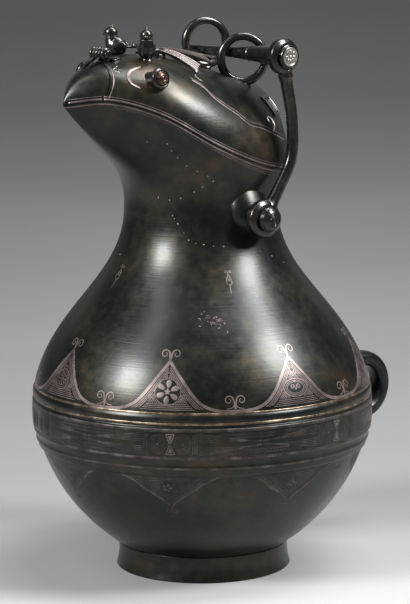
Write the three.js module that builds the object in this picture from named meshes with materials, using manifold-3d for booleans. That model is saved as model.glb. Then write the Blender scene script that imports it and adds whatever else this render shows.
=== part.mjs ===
// Bird-shaped bronze ewer with a lifting lid, a hinged beak tip and a side arm that keeps the lid.
// Millimetres, +Z up. The beak points along -Y, and +X is the bird's left side.
// Most places are given as forward (to the beak) and aside (to the bird's left) of the vessel's axis.
// A course or an outline is a list of [forward, height], [aside, radius] or [radius, height] points.
import * as THREE from 'three';
import { mergeVertices } from 'three/addons/utils/BufferGeometryUtils.js';
import Module from 'manifold-3d';

const wasm = await Module();
wasm.setup();

// Fineness
const facets = 44; // points round the vessel, the head and what fits them
const smallFacets = 16; // points round pins, eyes and caps
const jawSteps = 6; // from the neck to the joint line
const archSteps = 8; // from the joint line up to the crown

// Clearances
const seatGap = 0.3; // between pieces that are soldered or seated on each other
const runGap = 0.3; // round a pin that turns in its bore
const sunk = 12; // how far a piece is drawn into what it sits on, before that is cut away from it
const beyond = 500; // past the ewer on every side
const sliver = 0.1; // cubic millimetres

// Vessel
const wall = 3;
const footHeight = 18;
const footRimRadius = 63.2;
const footTopRadius = 60;
const footWall = 9;
const floorHoleRadius = 46; // the hole that the casting core came out through
const plateFlange = 4; // how far the base plate reaches over the floor round that hole
const plateFlangeThickness = 2;
const bellyRadius = 120.3;
const bellyHeight = 112; // where the belly is widest
const bandBottom = 90; // lower edge of the raised band
const bandStep = 2.1; // how far the band stands out there
const bandBulge = 61; // radius of the band's own curve
const neckRadius = 53.8;
const neckHeight = 256.5; // where the neck is narrowest
const lowerBellyArms = [32, 32]; // how far the belly's curve follows its tangents
const lowerBellySlopes = [35, 71]; // degrees, at the foot and under the band
const upperBellyArms = [68.7, 56];

// Head; a rise is a height over the neck's narrowest level
const headRadius = 62; // round the back of the head, at the joint line
const beakReach = 119.5; // from the axis to the beak's tip
const beakTaper = 2.3; // higher keeps the head wide further towards the tip
const tipSharpness = 1.4; // how much faster a wall's inner outline recedes at the tip
const jawSlope = 48; // degrees, of the lower beak at its tip
const napeSlope = 75; // degrees, of the neck where it meets the joint line at the back
const jawDraw = 2.8; // how far the throat is drawn in under the beak
const jawRoot = 0.38; // share of the jaw's rise that still follows the neck
const jointLine = [[-62, 21], [-30, 26.8], [0, 33.7], [35, 48.9], [71, 70.6], [98, 80], [119.5, 77.5]]; // rises
const crownLine = [[-34, 87.5], [0, 96], [20, 101.5], [40, 106.5], [62, 109], [86, 105]]; // rises
const napeStart = -34; // behind here the crown rounds down
const napeFootRise = 42.5;
const napeRound = 0.36;
const beakStart = 86; // ahead of here the upper beak rounds down
const beakRound = 0.68;

// Lid
const lidGap = 0.4; // all round, where the lid sits on and in the mouth
const tipGap = 1; // between the beak tip's edge and the lower beak
const flangeDepth = 3.6; // how far the lid reaches down into the mouth
const flangeHeight = 3; // how far its ledge stands up inside the lid
const flangeThickness = 2;

// Hinged beak tip
const seamReach = 101; // where the seam between the lid and the beak tip meets the joint line
const seamLean = 23; // degrees, back from upright
const seamGap = 0.7;
const hingeReach = 87;
const hingeGap = 0.6; // between the crown and the hinge's knuckles
const knuckleRadius = 4.8;
const knuckleWidth = 3.1;
const knuckleCount = 5;
const hingePinRadius = 1.7;
const leafThickness = 2.2;
const strapReach = 11; // how far the tip's straps run ahead of the hinge
const leafReach = 12; // how far the lid's leaf runs back from the hinge

// Eyes
const eyeReach = 68.8;
const eyeAside = 34.4; // where its middle line meets the head
const eyeRise = 94.2;
const eyeRadius = 7.2;
const eyeNeckRadius = 5.6;
const eyeStand = 7.6; // from there to its rim
const eyeRoot = 8; // from there to its inner end
const eyeTilt = 9; // degrees, outward and up
const eyeInlayRadius = 5.4;

// Little birds on the crown
const birdReach = 60.5;
const birdAside = 16.5;
const birdTurn = 50; // degrees, outward from straight ahead
const birdSize = 15; // length of the body
const birdHeight = 22;

// Crest plumes: where each one starts and ends, from the middle one outward
const plumeRoot = { reach: 44, lift: 4, spread: 4.6 };
const plumeEnds = [
  { reach: -8, aside: 0, lift: 8, roll: 0 }, // lift is the height over the crown
  { reach: 4, aside: 15, lift: 6.5, roll: 20 }, // roll is in degrees, outward
  { reach: 26, aside: 30, lift: 3, roll: 34 },
];
const combLength = 8; // of the comb that holds their roots
const plumeWidths = [3.8, 9.4]; // at the root and at the end
const plumeThickness = 2.4;
const plumeRise = 2.2; // how far a plume bows up

// Rings on the lid, which the crossbar runs through
const ringRadius = 15.6; // to the middle of the wire
const ringWire = 3;
const ringReach = -22.4;
const ringTurns = { left: 30, right: 16 }; // degrees, of a ring's open side towards the beak
const ringAside = 20;
const ringRises = { left: 102.1, right: 111.4 };
const ringFootRadius = 4.2;
const ringFootLength = 14;

// Arm on the left side: its link turns on a pin in the neck's boss and carries the crossbar
const pivotDrop = 3; // from the neck's narrowest level down to the pin
const pivotHeight = neckHeight - pivotDrop;
const linkAside = 65.9;
const linkEyeWidth = 9;
const lowerEyeRadius = 13.2;
const upperEyeRadius = 12.4;
const linkRod = 4.4; // radius
const barReach = -18.5;
const barLift = 4.5; // over the left ring's middle
const barHeight = neckHeight + ringRises.left + barLift;
const linkBow = [[-14.5, 19.5], [-26, 40.5], [-26.5, 66.5], [-22, 90.5]]; // heights over the pivot
const barEnd = -37; // where the bar ends, past the right ring
const barOutline = [[-35.6, 3], [0, 3.6], [14, 4], [28, 4.7], [40, 5.6], [52, 6.8], [59, 8]];
const pinRadius = 4;
const pinRoot = 1.4; // of metal between a pin's inner end and the neck
const knobRadius = 8.5;
const knobLength = 7;
const knobInlayRadius = 4.4;
const capRadius = 8.2;
const capLength = 3.2;
const capInlayRadius = 6.6;
const inlayDepth = 0.9;
const bossRadius = 16;
const bossTipRadius = 7;
const bossRise = 5; // how much higher the boss starts than it ends
const bossCurve = [[0.86, 0.62], [1.25, 0.9]]; // its arms, as shares of the end radius and of the length

// Grip on the back of the belly
const gripHeight = 108;
const gripReach = 179; // from the axis to the grip's outer side
const gripBend = 20; // radius of its middle line
const gripHalfWidth = 8;
const gripHalfThickness = 6;
const gripSteps = 10; // round its bend

// Wires let into the belly, from the top
const wireWidth = 1.5;
const wireThickness = 1;
const wireProud = 0.2;
const wireHeights = {
  gold_wire_upper: 131.8,
  gold_wire_lower: 125,
  silver_wire_upper: 121.2,
  silver_wire_middle: 101.3,
  silver_wire_lower: 94,
};

// Plaque at the back of the lid
const plaqueRise = 69.5;
const plaqueTurn = 49; // degrees, from straight back towards the left
const plaqueWidth = 17;
const plaqueLength = 13;
const plaqueThickness = 2;

const metals = {
  bronze: { color: 0x2c2e2a, roughness: 0.35, metalness: 0.9 },
  wornBronze: { color: 0x3a3b34, roughness: 0.3, metalness: 0.9 },
  silver: { color: 0xb3a59e, roughness: 0.3, metalness: 1 },
  gold: { color: 0xa48c5c, roughness: 0.35, metalness: 1 },
  copper: { color: 0x7c4a38, roughness: 0.35, metalness: 1 },
};

const degrees = Math.PI / 180;
const sides = { left: 1, right: -1 };
const mix = THREE.MathUtils.lerp;

// Solids: closed geometry in and out of the boolean library

function closedGeometry(geometry) {
  const bare = new THREE.BufferGeometry();
  bare.setAttribute('position', geometry.getAttribute('position'));
  if (geometry.index) bare.setIndex(geometry.index);
  const merged = mergeVertices(bare, 1e-4);
  const corners = merged.index.array;
  const kept = [];
  for (let i = 0; i < corners.length; i += 3) {
    const [a, b, c] = [corners[i], corners[i + 1], corners[i + 2]];
    if (a !== b && b !== c && c !== a) kept.push(a, b, c);
  }
  merged.setIndex(kept);
  return merged;
}

function solid(geometry) {
  const closed = closedGeometry(geometry);
  return new wasm.Manifold(new wasm.Mesh({
    numProp: 3,
    vertProperties: new Float32Array(closed.getAttribute('position').array),
    triVerts: new Uint32Array(closed.index.array),
  }));
}

// Boolean cuts along shared faces can leave slivers of no volume, which are left out here
function geometryOf(piece) {
  const bodies = piece.decompose().filter((body) => body.volume() > sliver);
  const mesh = wasm.Manifold.compose(bodies).getMesh();
  const geometry = new THREE.BufferGeometry();
  geometry.setAttribute('position', new THREE.BufferAttribute(new Float32Array(mesh.vertProperties), 3));
  geometry.setIndex(new THREE.BufferAttribute(new Uint32Array(mesh.triVerts), 1));
  return geometry;
}

// Rings of points, each joined to the next one. Flat ends are rings drawn in to the middle plane.
function skin(rings, closed = false) {
  const count = rings[0].length;
  const positions = rings.flat().flatMap((point) => [point.x, point.y, point.z]);
  const index = [];
  const strips = closed ? rings.length : rings.length - 1;
  for (let j = 0; j < strips; j += 1) {
    const next = (j + 1) % rings.length;
    for (let k = 0; k < count; k += 1) {
      const a = j * count + k;
      const b = j * count + (k + 1) % count;
      const c = next * count + (k + 1) % count;
      const d = next * count + k;
      index.push(a, b, c, a, c, d);
    }
  }
  const geometry = new THREE.BufferGeometry();
  geometry.setAttribute('position', new THREE.Float32BufferAttribute(positions, 3));
  geometry.setIndex(index);
  return closedGeometry(geometry);
}

// A point from its distance aside, forward and up
function place(aside, forward, up) {
  return new THREE.Vector3(aside, -forward, up);
}

// A turned piece on the Z axis, or on the X axis, from [radius, height] points
function turnedUp(points, segments = facets) {
  const profile = points.map(([radius, height]) => new THREE.Vector2(radius, height));
  return new THREE.LatheGeometry(profile, segments).rotateX(Math.PI / 2);
}

function turnedAside(points, segments = smallFacets) {
  const profile = points.map(([radius, height]) => new THREE.Vector2(radius, height));
  return new THREE.LatheGeometry(profile, segments).rotateZ(-Math.PI / 2);
}

function rod(radius, from, to, segments = smallFacets) {
  return turnedAside([[0, from], [radius, from], [radius, to], [0, to]], segments);
}

// A block between any two opposite corners
function block(corner, opposite) {
  const box = new THREE.Box3().setFromPoints([corner, opposite]);
  const size = box.getSize(new THREE.Vector3());
  const middle = box.getCenter(new THREE.Vector3());
  return new THREE.BoxGeometry(size.x, size.y, size.z).translate(middle.x, middle.y, middle.z);
}

// A smooth curve through a few [x, y] points, read at any x
function through(points) {
  const slope = (i) => {
    const before = points[Math.max(i - 1, 0)];
    const after = points[Math.min(i + 1, points.length - 1)];
    return (after[1] - before[1]) / (after[0] - before[0]);
  };
  return (x) => {
    let i = 0;
    while (i < points.length - 2 && x > points[i + 1][0]) i += 1;
    const [x0, y0] = points[i];
    const [x1, y1] = points[i + 1];
    if (x < x0) return y0 + slope(0) * (x - x0);
    if (x > x1) return y1 + slope(points.length - 1) * (x - x1);
    const t = (x - x0) / (x1 - x0);
    const rise = (x1 - x0) * (slope(i) * t * (1 - t) ** 2 - slope(i + 1) * t ** 2 * (1 - t));
    return rise + mix(y0, y1, t * t * (3 - 2 * t));
  };
}

const turns = Array.from({ length: facets }, (_, k) => 2 * Math.PI * k / facets);

// Level rings round the vessel's axis, from [radius, height] points, grown outward
function ringsOf(outline, grow) {
  return outline.map(([radius, height]) => turns
    .map((turn) => place((radius + grow) * Math.sin(turn), (radius + grow) * Math.cos(turn), height)));
}

// Vessel outline: a curve from the foot to the band, the band's own swell, and a curve up to the neck

function bellyCurves() {
  const bandRadius = bellyRadius - swell(bandBottom) - bandStep;
  const foot = new THREE.Vector2(footTopRadius, footHeight);
  const under = new THREE.Vector2(bandRadius, bandBottom - bandStep);
  const armUp = (angle, length) => new THREE.Vector2(Math.cos(angle * degrees), Math.sin(angle * degrees))
    .multiplyScalar(length);
  const lower = new THREE.CubicBezierCurve(
    foot,
    foot.clone().add(armUp(lowerBellySlopes[0], lowerBellyArms[0])),
    under.clone().sub(armUp(lowerBellySlopes[1], lowerBellyArms[1])),
    under,
  );
  const upper = new THREE.CubicBezierCurve(
    new THREE.Vector2(bellyRadius, bellyHeight),
    new THREE.Vector2(bellyRadius, bellyHeight + upperBellyArms[0]),
    new THREE.Vector2(neckRadius, neckHeight - upperBellyArms[1]),
    new THREE.Vector2(neckRadius, neckHeight),
  );
  return { lower, upper };
}

function swell(height) {
  return bandBulge - Math.sqrt(bandBulge ** 2 - (bellyHeight - height) ** 2);
}

const { lower: lowerBelly, upper: upperBelly } = bellyCurves();
const upperSamples = upperBelly.getPoints(200);

function bodyRadius(height) {
  if (height <= bellyHeight) return bellyRadius - swell(height);
  const above = upperSamples.findIndex((point) => point.y >= height);
  if (above < 0) return neckRadius;
  const [a, b] = [upperSamples[above - 1], upperSamples[above]];
  return mix(a.x, b.x, (height - a.y) / (b.y - a.y));
}

function wireGroove(height) {
  const half = wireWidth / 2 + seatGap;
  const depth = wireThickness - wireProud + seatGap;
  return [[-half, 0], [-half, depth], [half, depth], [half, 0]]
    .map(([up, deep]) => [bodyRadius(height + up) - deep, height + up]);
}

function outerOutline(grooved) {
  const points = lowerBelly.getPoints(5).map((point) => [point.x, point.y]);
  points.push([bodyRadius(bandBottom), bandBottom]);
  Object.values(wireHeights).reverse().forEach((height, i, heights) => {
    if (heights[i - 1] < bellyHeight && height > bellyHeight) points.push([bellyRadius, bellyHeight]);
    const edges = wireGroove(height);
    points.push(...(grooved ? edges : [edges[0], edges[3]]));
  });
  const start = wireHeights.gold_wire_upper + 8;
  const steps = 8;
  for (let i = 0; i <= steps; i += 1) {
    const height = mix(start, neckHeight, (i / steps) ** 0.9);
    points.push([bodyRadius(height), height]);
  }
  return points;
}

// The inner outline follows the outer one a wall's thickness in, without the grooves
function innerOutline() {
  const outer = [
    ...lowerBelly.getPoints(4).slice(1),
    new THREE.Vector2(bellyRadius, bellyHeight),
    ...upperBelly.getPoints(6).slice(1),
  ];
  const inner = outer.map((point, i) => {
    const before = outer[Math.max(i - 1, 0)];
    const after = outer[Math.min(i + 1, outer.length - 1)];
    const along = new THREE.Vector2().subVectors(after, before).normalize();
    return [point.x - along.y * wall, point.y + along.x * wall];
  });
  inner[inner.length - 1] = [neckRadius - wall, neckHeight];
  return [[footTopRadius - wall, footHeight + wall], ...inner];
}

// Head: its plan outline, the joint line's height, the crown's height and the jaw under it.
// An inset of a wall's thickness gives the inner surface of the same form.

const jointRise = through(jointLine);
const jointHeight = (forward) => neckHeight + jointRise(forward);
const crownCurve = through(crownLine);
const napeFoot = neckHeight + napeFootRise;

function headOutline(turn, inset) {
  const forward = Math.cos(turn);
  const radius = headRadius - inset;
  const reach = beakReach - tipSharpness * inset;
  if (forward <= 0) return { aside: radius * Math.sin(turn), forward: radius * forward };
  const width = radius * (1 - forward ** beakTaper);
  return { aside: Math.sign(Math.sin(turn)) * width, forward: reach * forward };
}

function crownHeight(forward, inset) {
  const top = neckHeight + crownCurve(Math.min(forward, beakStart)) - inset;
  const reach = beakReach - tipSharpness * inset;
  if (forward > beakStart) {
    const tip = jointHeight(reach);
    const t = Math.min((forward - beakStart) / (reach - beakStart), 1);
    return tip + (top - tip) * (1 - t * t) ** beakRound;
  }
  if (forward < napeStart) {
    const t = Math.min((napeStart - forward) / (napeStart + headRadius - inset), 1);
    return napeFoot + (top - napeFoot) * (1 - t * t) ** napeRound;
  }
  return top;
}

function outlineRing(inset, lift) {
  return turns.map((turn) => {
    const { aside, forward } = headOutline(turn, inset);
    return place(aside, forward, jointHeight(forward) + lift);
  });
}

const drawnIn = (ring) => ring.map((point) => new THREE.Vector3(0, point.y, point.z));

// The arch of the upper head over a ring that stands lift above the joint line
function archRings(inset, lift) {
  return Array.from({ length: archSteps }, (_, i) => {
    const arch = 0.5 * Math.PI * (i + 1) / archSteps;
    const narrow = i === archSteps - 1 ? 0 : Math.cos(arch);
    return turns.map((turn) => {
      const { aside, forward } = headOutline(turn, inset);
      const base = jointHeight(forward) + lift;
      const rise = Math.max(crownHeight(forward, inset) - base, 0);
      return place(aside * narrow, forward, base + rise * Math.sin(arch));
    });
  });
}

// The whole upper head as a filled form, standing lift above the joint line, or reaching below it
function upperHead(inset, lift) {
  const foot = outlineRing(inset, lift);
  const lower = lift < 0 ? [foot, outlineRing(inset, 0)] : [foot];
  return solid(skin([drawnIn(foot), ...lower, ...archRings(inset, Math.max(lift, 0))]));
}

// One point of the jaw, from the neck (along = 0) to the joint line (along = 1)
function jawPoint(turn, along, inset) {
  const { aside, forward } = headOutline(turn, inset);
  const radius = neckRadius - inset;
  const front = THREE.MathUtils.clamp((Math.hypot(aside, forward) - headRadius + inset)
    / (beakReach - headRadius), 0, 1);
  const start = place(radius * Math.sin(turn), radius * Math.cos(turn), neckHeight);
  const end = place(aside, forward, jointHeight(forward));
  const rise = end.z - start.z;
  const outward = new THREE.Vector3(end.x - start.x, end.y - start.y, 0).normalize();
  const slope = mix(napeSlope, jawSlope, Math.sqrt(front)) * degrees;
  const arm = rise * mix(jawRoot, 2 * jawRoot, front);
  const first = start.clone().multiplyScalar(1 - jawDraw * front / radius);
  first.z = start.z + jawRoot * rise;
  const second = end.clone().addScaledVector(outward, -arm * Math.cos(slope));
  second.z -= arm * Math.sin(slope);
  return new THREE.CubicBezierCurve3(start, first, second, end).getPoint(along);
}

function jawRings(inset) {
  return Array.from({ length: jawSteps }, (_, i) => turns
    .map((turn) => jawPoint(turn, (i + 1) / jawSteps, inset)));
}

function vesselBody() {
  const outside = [...ringsOf(outerOutline(true), 0), ...jawRings(0)];
  const inside = [...ringsOf(innerOutline(), 0), ...jawRings(wall)];
  const hole = ringsOf([[floorHoleRadius, footHeight + wall], [floorHoleRadius, footHeight]], 0);
  return skin([...outside, ...inside.reverse(), ...hole], true);
}

// The vessel's filled form without grooves, grown by a gap, to seat pieces against it
function vesselForm(grow) {
  const body = ringsOf(outerOutline(false), grow);
  const jaw = jawRings(-grow);
  return solid(skin([drawnIn(body[0]), ...body, ...jaw, drawnIn(jaw[jaw.length - 1])]));
}

function footRing() {
  const top = footHeight - seatGap;
  return turnedUp([
    [footRimRadius - footWall, 0],
    [footRimRadius - 0.8, 0],
    [footRimRadius, 0.8],
    [footTopRadius, top],
    [footTopRadius - footWall, top],
    [footRimRadius - footWall, 0],
  ]);
}

function basePlate() {
  const plug = floorHoleRadius - seatGap;
  const flange = floorHoleRadius + plateFlange;
  const rest = footHeight + wall + seatGap;
  const top = rest + plateFlangeThickness;
  return turnedUp([
    [0, footHeight],
    [plug, footHeight],
    [plug, rest],
    [flange, rest],
    [flange, top],
    [0, top],
  ]);
}

function bellyWire(height) {
  const half = wireWidth / 2;
  const corners = [[-half, wireThickness], [-half, 0], [half, 0], [half, wireThickness]];
  const section = corners.map(([up, deep]) => [bodyRadius(height + up) + wireProud - deep, height + up]);
  return turnedUp([...section, section[0]]);
}

// Grip: a round-cornered loop of oval section, whose two ends meet the belly
function rearGrip() {
  const bendReach = gripReach - gripHalfThickness - gripBend;
  const startReach = bodyRadius(gripHeight - gripBend) - sunk;
  const bend = Array.from({ length: gripSteps + 1 }, (_, i) => Math.PI * i / gripSteps)
    .map((turn) => [bendReach + gripBend * Math.sin(turn), gripHeight + gripBend * Math.cos(turn)]);
  const arm = [startReach, mix(startReach, bendReach, 0.5)];
  const course = [
    ...arm.map((reach) => [reach, gripHeight + gripBend]),
    ...bend,
    ...arm.reverse().map((reach) => [reach, gripHeight - gripBend]),
  ].map(([reach, height]) => place(0, -reach, height));
  const path = new THREE.CatmullRomCurve3(course, false, 'centripetal');
  const section = new THREE.Shape().absellipse(0, 0, gripHalfThickness, gripHalfWidth, 0, 2 * Math.PI);
  const fineness = { steps: 2 * gripSteps, curveSegments: 5, extrudePath: path };
  const loop = new THREE.ExtrudeGeometry(section, fineness);
  return solid(loop).subtract(vesselForm(seatGap + wireProud));
}

// Boss, pin and link of the arm, turned about X

const eyeInner = linkAside - linkEyeWidth / 2; // near face of a link's eyes
const eyeOuter = linkAside + linkEyeWidth / 2;

// How far the vessel's side stands out at the pivot
const sideReach = bodyRadius(pivotHeight);

function pivotBoss() {
  const tip = eyeInner - runGap;
  const base = sideReach - bossRadius ** 2 / sideReach;
  const profile = new THREE.CubicBezierCurve(
    new THREE.Vector2(bossRadius, base),
    new THREE.Vector2(bossRadius * bossCurve[0][0], mix(base, tip, bossCurve[0][1])),
    new THREE.Vector2(bossTipRadius * bossCurve[1][0], mix(base, tip, bossCurve[1][1])),
    new THREE.Vector2(bossTipRadius, tip),
  ).getPoints(5).map((point) => [point.x, point.y]);
  const cone = turnedAside([[0, base], ...profile, [0, tip]]);
  const lean = new THREE.Matrix4().makeShear(0, -bossRise / (tip - base), 0, 0, 0, 0);
  cone.applyMatrix4(lean).translate(0, 0, bossRise * tip / (tip - base));
  const bore = solid(rod(pinRadius + seatGap, sideReach + pinRoot, tip + 1));
  return solid(cone).subtract(bore).subtract(vesselForm(seatGap).translate(0, 0, -pivotHeight));
}

function pivotPin() {
  const start = sideReach + pinRoot + seatGap;
  const head = eyeOuter + runGap;
  const end = head + knobLength;
  const face = knobInlayRadius + seatGap;
  const pin = turnedAside([
    [0, start],
    [pinRadius, start],
    [pinRadius, head],
    [knobRadius - 1.2, head],
    [knobRadius, head + 1.4],
    [knobRadius, head + knobLength * 0.6],
    [face + 0.6, end],
    [face, end],
    [face, end - inlayDepth],
    [0, end - inlayDepth],
  ]);
  return solid(pin);
}

// The disc let into the end of a knob or a cap
function inlaidDisc(radius, length) {
  const face = eyeOuter + runGap + length;
  const floor = face - inlayDepth + seatGap;
  return turnedAside([
    [0, floor],
    [radius, floor],
    [radius, face],
    [radius * 0.6, face + 0.7],
    [0, face + 0.7],
  ]);
}

function linkEye(radius) {
  const half = linkEyeWidth / 2;
  const side = [[radius - 2.6, half], [radius, 1.6]];
  const far = side.map(([r, aside]) => [r, -aside]);
  return turnedAside([[0, -half], ...far, ...side.reverse(), [0, half]], smallFacets + 2);
}

function armLink() {
  const course = [[0, 0], ...linkBow, [barReach, barHeight - pivotHeight]]
    .map(([forward, height]) => place(linkAside, forward, pivotHeight + height));
  const path = new THREE.CatmullRomCurve3(course, false, 'centripetal');
  const section = new THREE.Shape().absellipse(0, 0, linkRod, linkRod, 0, 2 * Math.PI);
  const bar = new THREE.ExtrudeGeometry(section, { steps: 12, curveSegments: 4, extrudePath: path });
  const lower = linkEye(lowerEyeRadius).translate(linkAside, 0, pivotHeight);
  const upper = linkEye(upperEyeRadius).translate(linkAside, -barReach, barHeight);
  const clearAt = (reach, height, cover) => solid(rod(pinRadius + runGap, 0, eyeOuter + sunk))
    .add(solid(rod(cover + 2, eyeOuter, eyeOuter + sunk)))
    .translate([0, -reach, height]);
  return solid(bar).add(solid(lower)).add(solid(upper))
    .subtract(clearAt(0, pivotHeight, knobRadius))
    .subtract(clearAt(barReach, barHeight, capRadius));
}

const barPinEnd = eyeOuter + runGap + capLength * 0.3;

function crossbar() {
  const outline = barOutline.map(([aside, radius]) => [radius, aside]);
  const shoulder = eyeInner - runGap;
  const [shoulderRadius] = outline[outline.length - 1];
  return turnedAside([
    [0, barEnd],
    [outline[0][0] / 2, barEnd],
    ...outline,
    [shoulderRadius, shoulder],
    [pinRadius, shoulder],
    [pinRadius, barPinEnd],
    [0, barPinEnd],
  ]);
}

function crossbarCap() {
  const start = eyeOuter + runGap;
  const end = start + capLength;
  const face = capInlayRadius + seatGap;
  return turnedAside([
    [pinRadius + seatGap, start],
    [capRadius - 1, start],
    [capRadius, start + 1.2],
    [capRadius, start + capLength * 0.6],
    [face + 0.6, end],
    [face, end],
    [face, end - inlayDepth],
    [0, end - inlayDepth],
    [0, barPinEnd + seatGap],
    [pinRadius + seatGap, barPinEnd + seatGap],
    [pinRadius + seatGap, start],
  ]);
}

// Lid

function seatedOnHead(piece) {
  return piece.subtract(upperHead(-seatGap, -2));
}

function headShell(gap) {
  return upperHead(0, gap).subtract(upperHead(wall, -4));
}

// A ring of the lid's tongue, which follows the last step of the jaw's inside down from the joint line
function tongueRing(inset, depth) {
  return turns.map((turn) => {
    const top = jawPoint(turn, 1, inset);
    const below = jawPoint(turn, 1 - 1 / jawSteps, inset);
    return top.lerp(below, depth / (top.z - below.z));
  });
}

function lidShell(holes) {
  const outer = wall + lidGap;
  const inner = outer + flangeThickness;
  const tongue = tongueRing(outer, flangeDepth);
  const seat = [outlineRing(outer, lidGap), outlineRing(0, lidGap)];
  const filled = solid(skin([drawnIn(tongue), tongue, ...seat, ...archRings(0, lidGap)]));
  const throat = tongueRing(inner, flangeDepth + 1);
  const ledge = [outlineRing(inner, flangeHeight), outlineRing(wall, flangeHeight)];
  const hollow = solid(skin([drawnIn(throat), throat, ...ledge, ...archRings(wall, flangeHeight)]));
  return holes.reduce((lid, hole) => lid.subtract(hole), filled.subtract(hollow).intersect(pastSeam(-1)));
}

// Everything ahead of the leaning seam (1) or behind it (-1), less half of its gap
function pastSeam(way) {
  return solid(block(place(-beyond, 0, -beyond), place(beyond, way * beyond, beyond))
    .rotateX(-seamLean * degrees)
    .translate(0, -seamReach - way * seamGap / 2, jointHeight(seamReach)));
}

const hingeLevel = crownHeight(hingeReach, 0);
const hingeHeight = hingeLevel + knuckleRadius + hingeGap;
const leafTop = hingeHeight - knuckleRadius + seatGap + leafThickness;
const hingeLeft = knuckleCount * knuckleWidth / 2;

// Every second knuckle, starting with the first (lid) or the second (beak tip)
function knuckles(first) {
  const barrels = [];
  for (let i = first; i < knuckleCount; i += 2) {
    const from = -hingeLeft + i * knuckleWidth + seatGap / 2;
    barrels.push({ from, to: from + knuckleWidth - seatGap });
  }
  return barrels;
}

function barrel({ from, to }, grow = 0) {
  const r = knuckleRadius + grow;
  const points = [[0, from], [r - 0.7, from], [r, from + 0.9], [r, to - 0.9], [r - 0.7, to], [0, to]];
  return solid(turnedAside(points, 12).translate(0, -hingeReach, hingeHeight));
}

const hingeBore = () => solid(rod(hingePinRadius + runGap, -hingeLeft - 1, hingeLeft + 1, 12)
  .translate(0, -hingeReach, hingeHeight));

function beakHingeLeaf() {
  const clear = knuckleRadius + 1;
  let leaf = solid(block(
    place(-hingeLeft, hingeReach - clear, hingeLevel - sunk),
    place(hingeLeft, hingeReach - leafReach, leafTop),
  ));
  knuckles(0).forEach((span) => {
    const strap = block(
      place(span.from, hingeReach, hingeLevel - sunk),
      place(span.to, hingeReach - clear - 1, leafTop),
    );
    leaf = leaf.add(solid(strap)).add(barrel(span));
  });
  return seatedOnHead(leaf.subtract(hingeBore()));
}

function beakFlap() {
  const lowest = hingeLevel - wall;
  const overLid = pastSeam(-1).intersect(solid(block(
    place(-beyond, -beyond, 0),
    place(beyond, beyond, hingeLevel + hingeGap),
  )));
  let flap = headShell(tipGap).intersect(pastSeam(1));
  knuckles(1).forEach((span) => {
    const arm = block(
      place(span.from, hingeReach + strapReach, lowest),
      place(span.to, hingeReach + 1, leafTop + 1),
    );
    flap = flap.add(solid(arm).subtract(overLid)).add(barrel(span));
  });
  return flap.subtract(hingeBore());
}

function beakHingePin() {
  const end = hingeLeft + seatGap;
  const head = hingePinRadius + 1.3;
  return turnedAside([
    [0, -end - 1.5],
    [head, -end - 1.2],
    [head, -end],
    [hingePinRadius, -end],
    [hingePinRadius, end],
    [head, end],
    [head, end + 1.2],
    [0, end + 1.5],
  ], 12);
}

// A peg eye, turned about X and then set in the side of the head
function eyePeg() {
  const cup = eyeInlayRadius + seatGap;
  return turnedAside([
    [0, -eyeRoot],
    [eyeNeckRadius, -eyeRoot],
    [eyeNeckRadius, eyeStand * 0.64],
    [eyeRadius, eyeStand * 0.68],
    [eyeRadius, eyeStand],
    [cup + 0.7, eyeStand + 1.3],
    [cup, eyeStand + 1.3],
    [cup, eyeStand],
    [0, eyeStand],
  ]);
}

function eyeInlay() {
  const floor = eyeStand + seatGap;
  return turnedAside([
    [0, floor],
    [eyeInlayRadius, floor],
    [eyeInlayRadius, floor + 1],
    [eyeInlayRadius * 0.75, floor + 2],
    [eyeInlayRadius * 0.4, floor + 2.6],
    [0, floor + 2.8],
  ]);
}

function eyePlace(side) {
  const turn = side > 0 ? -eyeTilt * degrees : Math.PI + eyeTilt * degrees;
  return new THREE.Matrix4()
    .makeTranslation(side * eyeAside, -eyeReach, neckHeight + eyeRise)
    .multiply(new THREE.Matrix4().makeRotationY(turn));
}

// A little bird: body, tail, neck, head, beak and top knot, facing -Y before it is turned
function smallBird(side) {
  const r = birdSize / 2;
  const foot = r * 0.8;
  const egg = new THREE.SphereGeometry(1, 10, 7).scale(r * 0.78, r, r * 0.8).translate(0, 0, foot);
  const neck = new THREE.CylinderGeometry(r * 0.36, r * 0.58, r * 1.1, 8).rotateX(Math.PI / 2)
    .translate(0, -r * 0.42, foot + r * 0.9);
  const head = new THREE.SphereGeometry(r * 0.52, 8, 6).translate(0, -r * 0.5, birdHeight - r * 0.75);
  const beak = new THREE.ConeGeometry(r * 0.22, r * 0.7, 6).rotateX(Math.PI)
    .translate(0, -r * 1.2, birdHeight - r * 0.8);
  const knot = new THREE.SphereGeometry(r * 0.17, 5, 4).translate(0, -r * 0.45, birdHeight - r * 0.18);
  const tail = new THREE.CylinderGeometry(r * 0.62, r * 0.3, r * 1.3, 8).scale(1, 1, 0.4)
    .rotateX(-0.22).translate(0, r * 1.25, foot + r * 0.2);
  const foothold = new THREE.CylinderGeometry(r * 0.45, r * 0.6, r, 8).rotateX(Math.PI / 2)
    .translate(0, 0, -r * 0.1);
  const parts = [egg, neck, head, beak, knot, tail, foothold].map((part) => part
    .rotateZ(side * birdTurn * degrees)
    .translate(side * birdAside, -birdReach, birdGround));
  return seatedOnHead(parts.map(solid).reduce((bird, part) => bird.add(part)));
}

// The crown's height over a point of the head's plan
function crownAt(aside, forward) {
  const base = jointHeight(forward);
  const width = headRadius * (forward > 0 ? 1 - (forward / beakReach) ** beakTaper
    : Math.sqrt(1 - (forward / headRadius) ** 2));
  return base + (crownHeight(forward, 0) - base) * Math.sqrt(1 - (aside / width) ** 2);
}

const birdGround = crownAt(birdAside, birdReach);
const plumeRootHeight = crownAt(0, plumeRoot.reach) + plumeRoot.lift;

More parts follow.
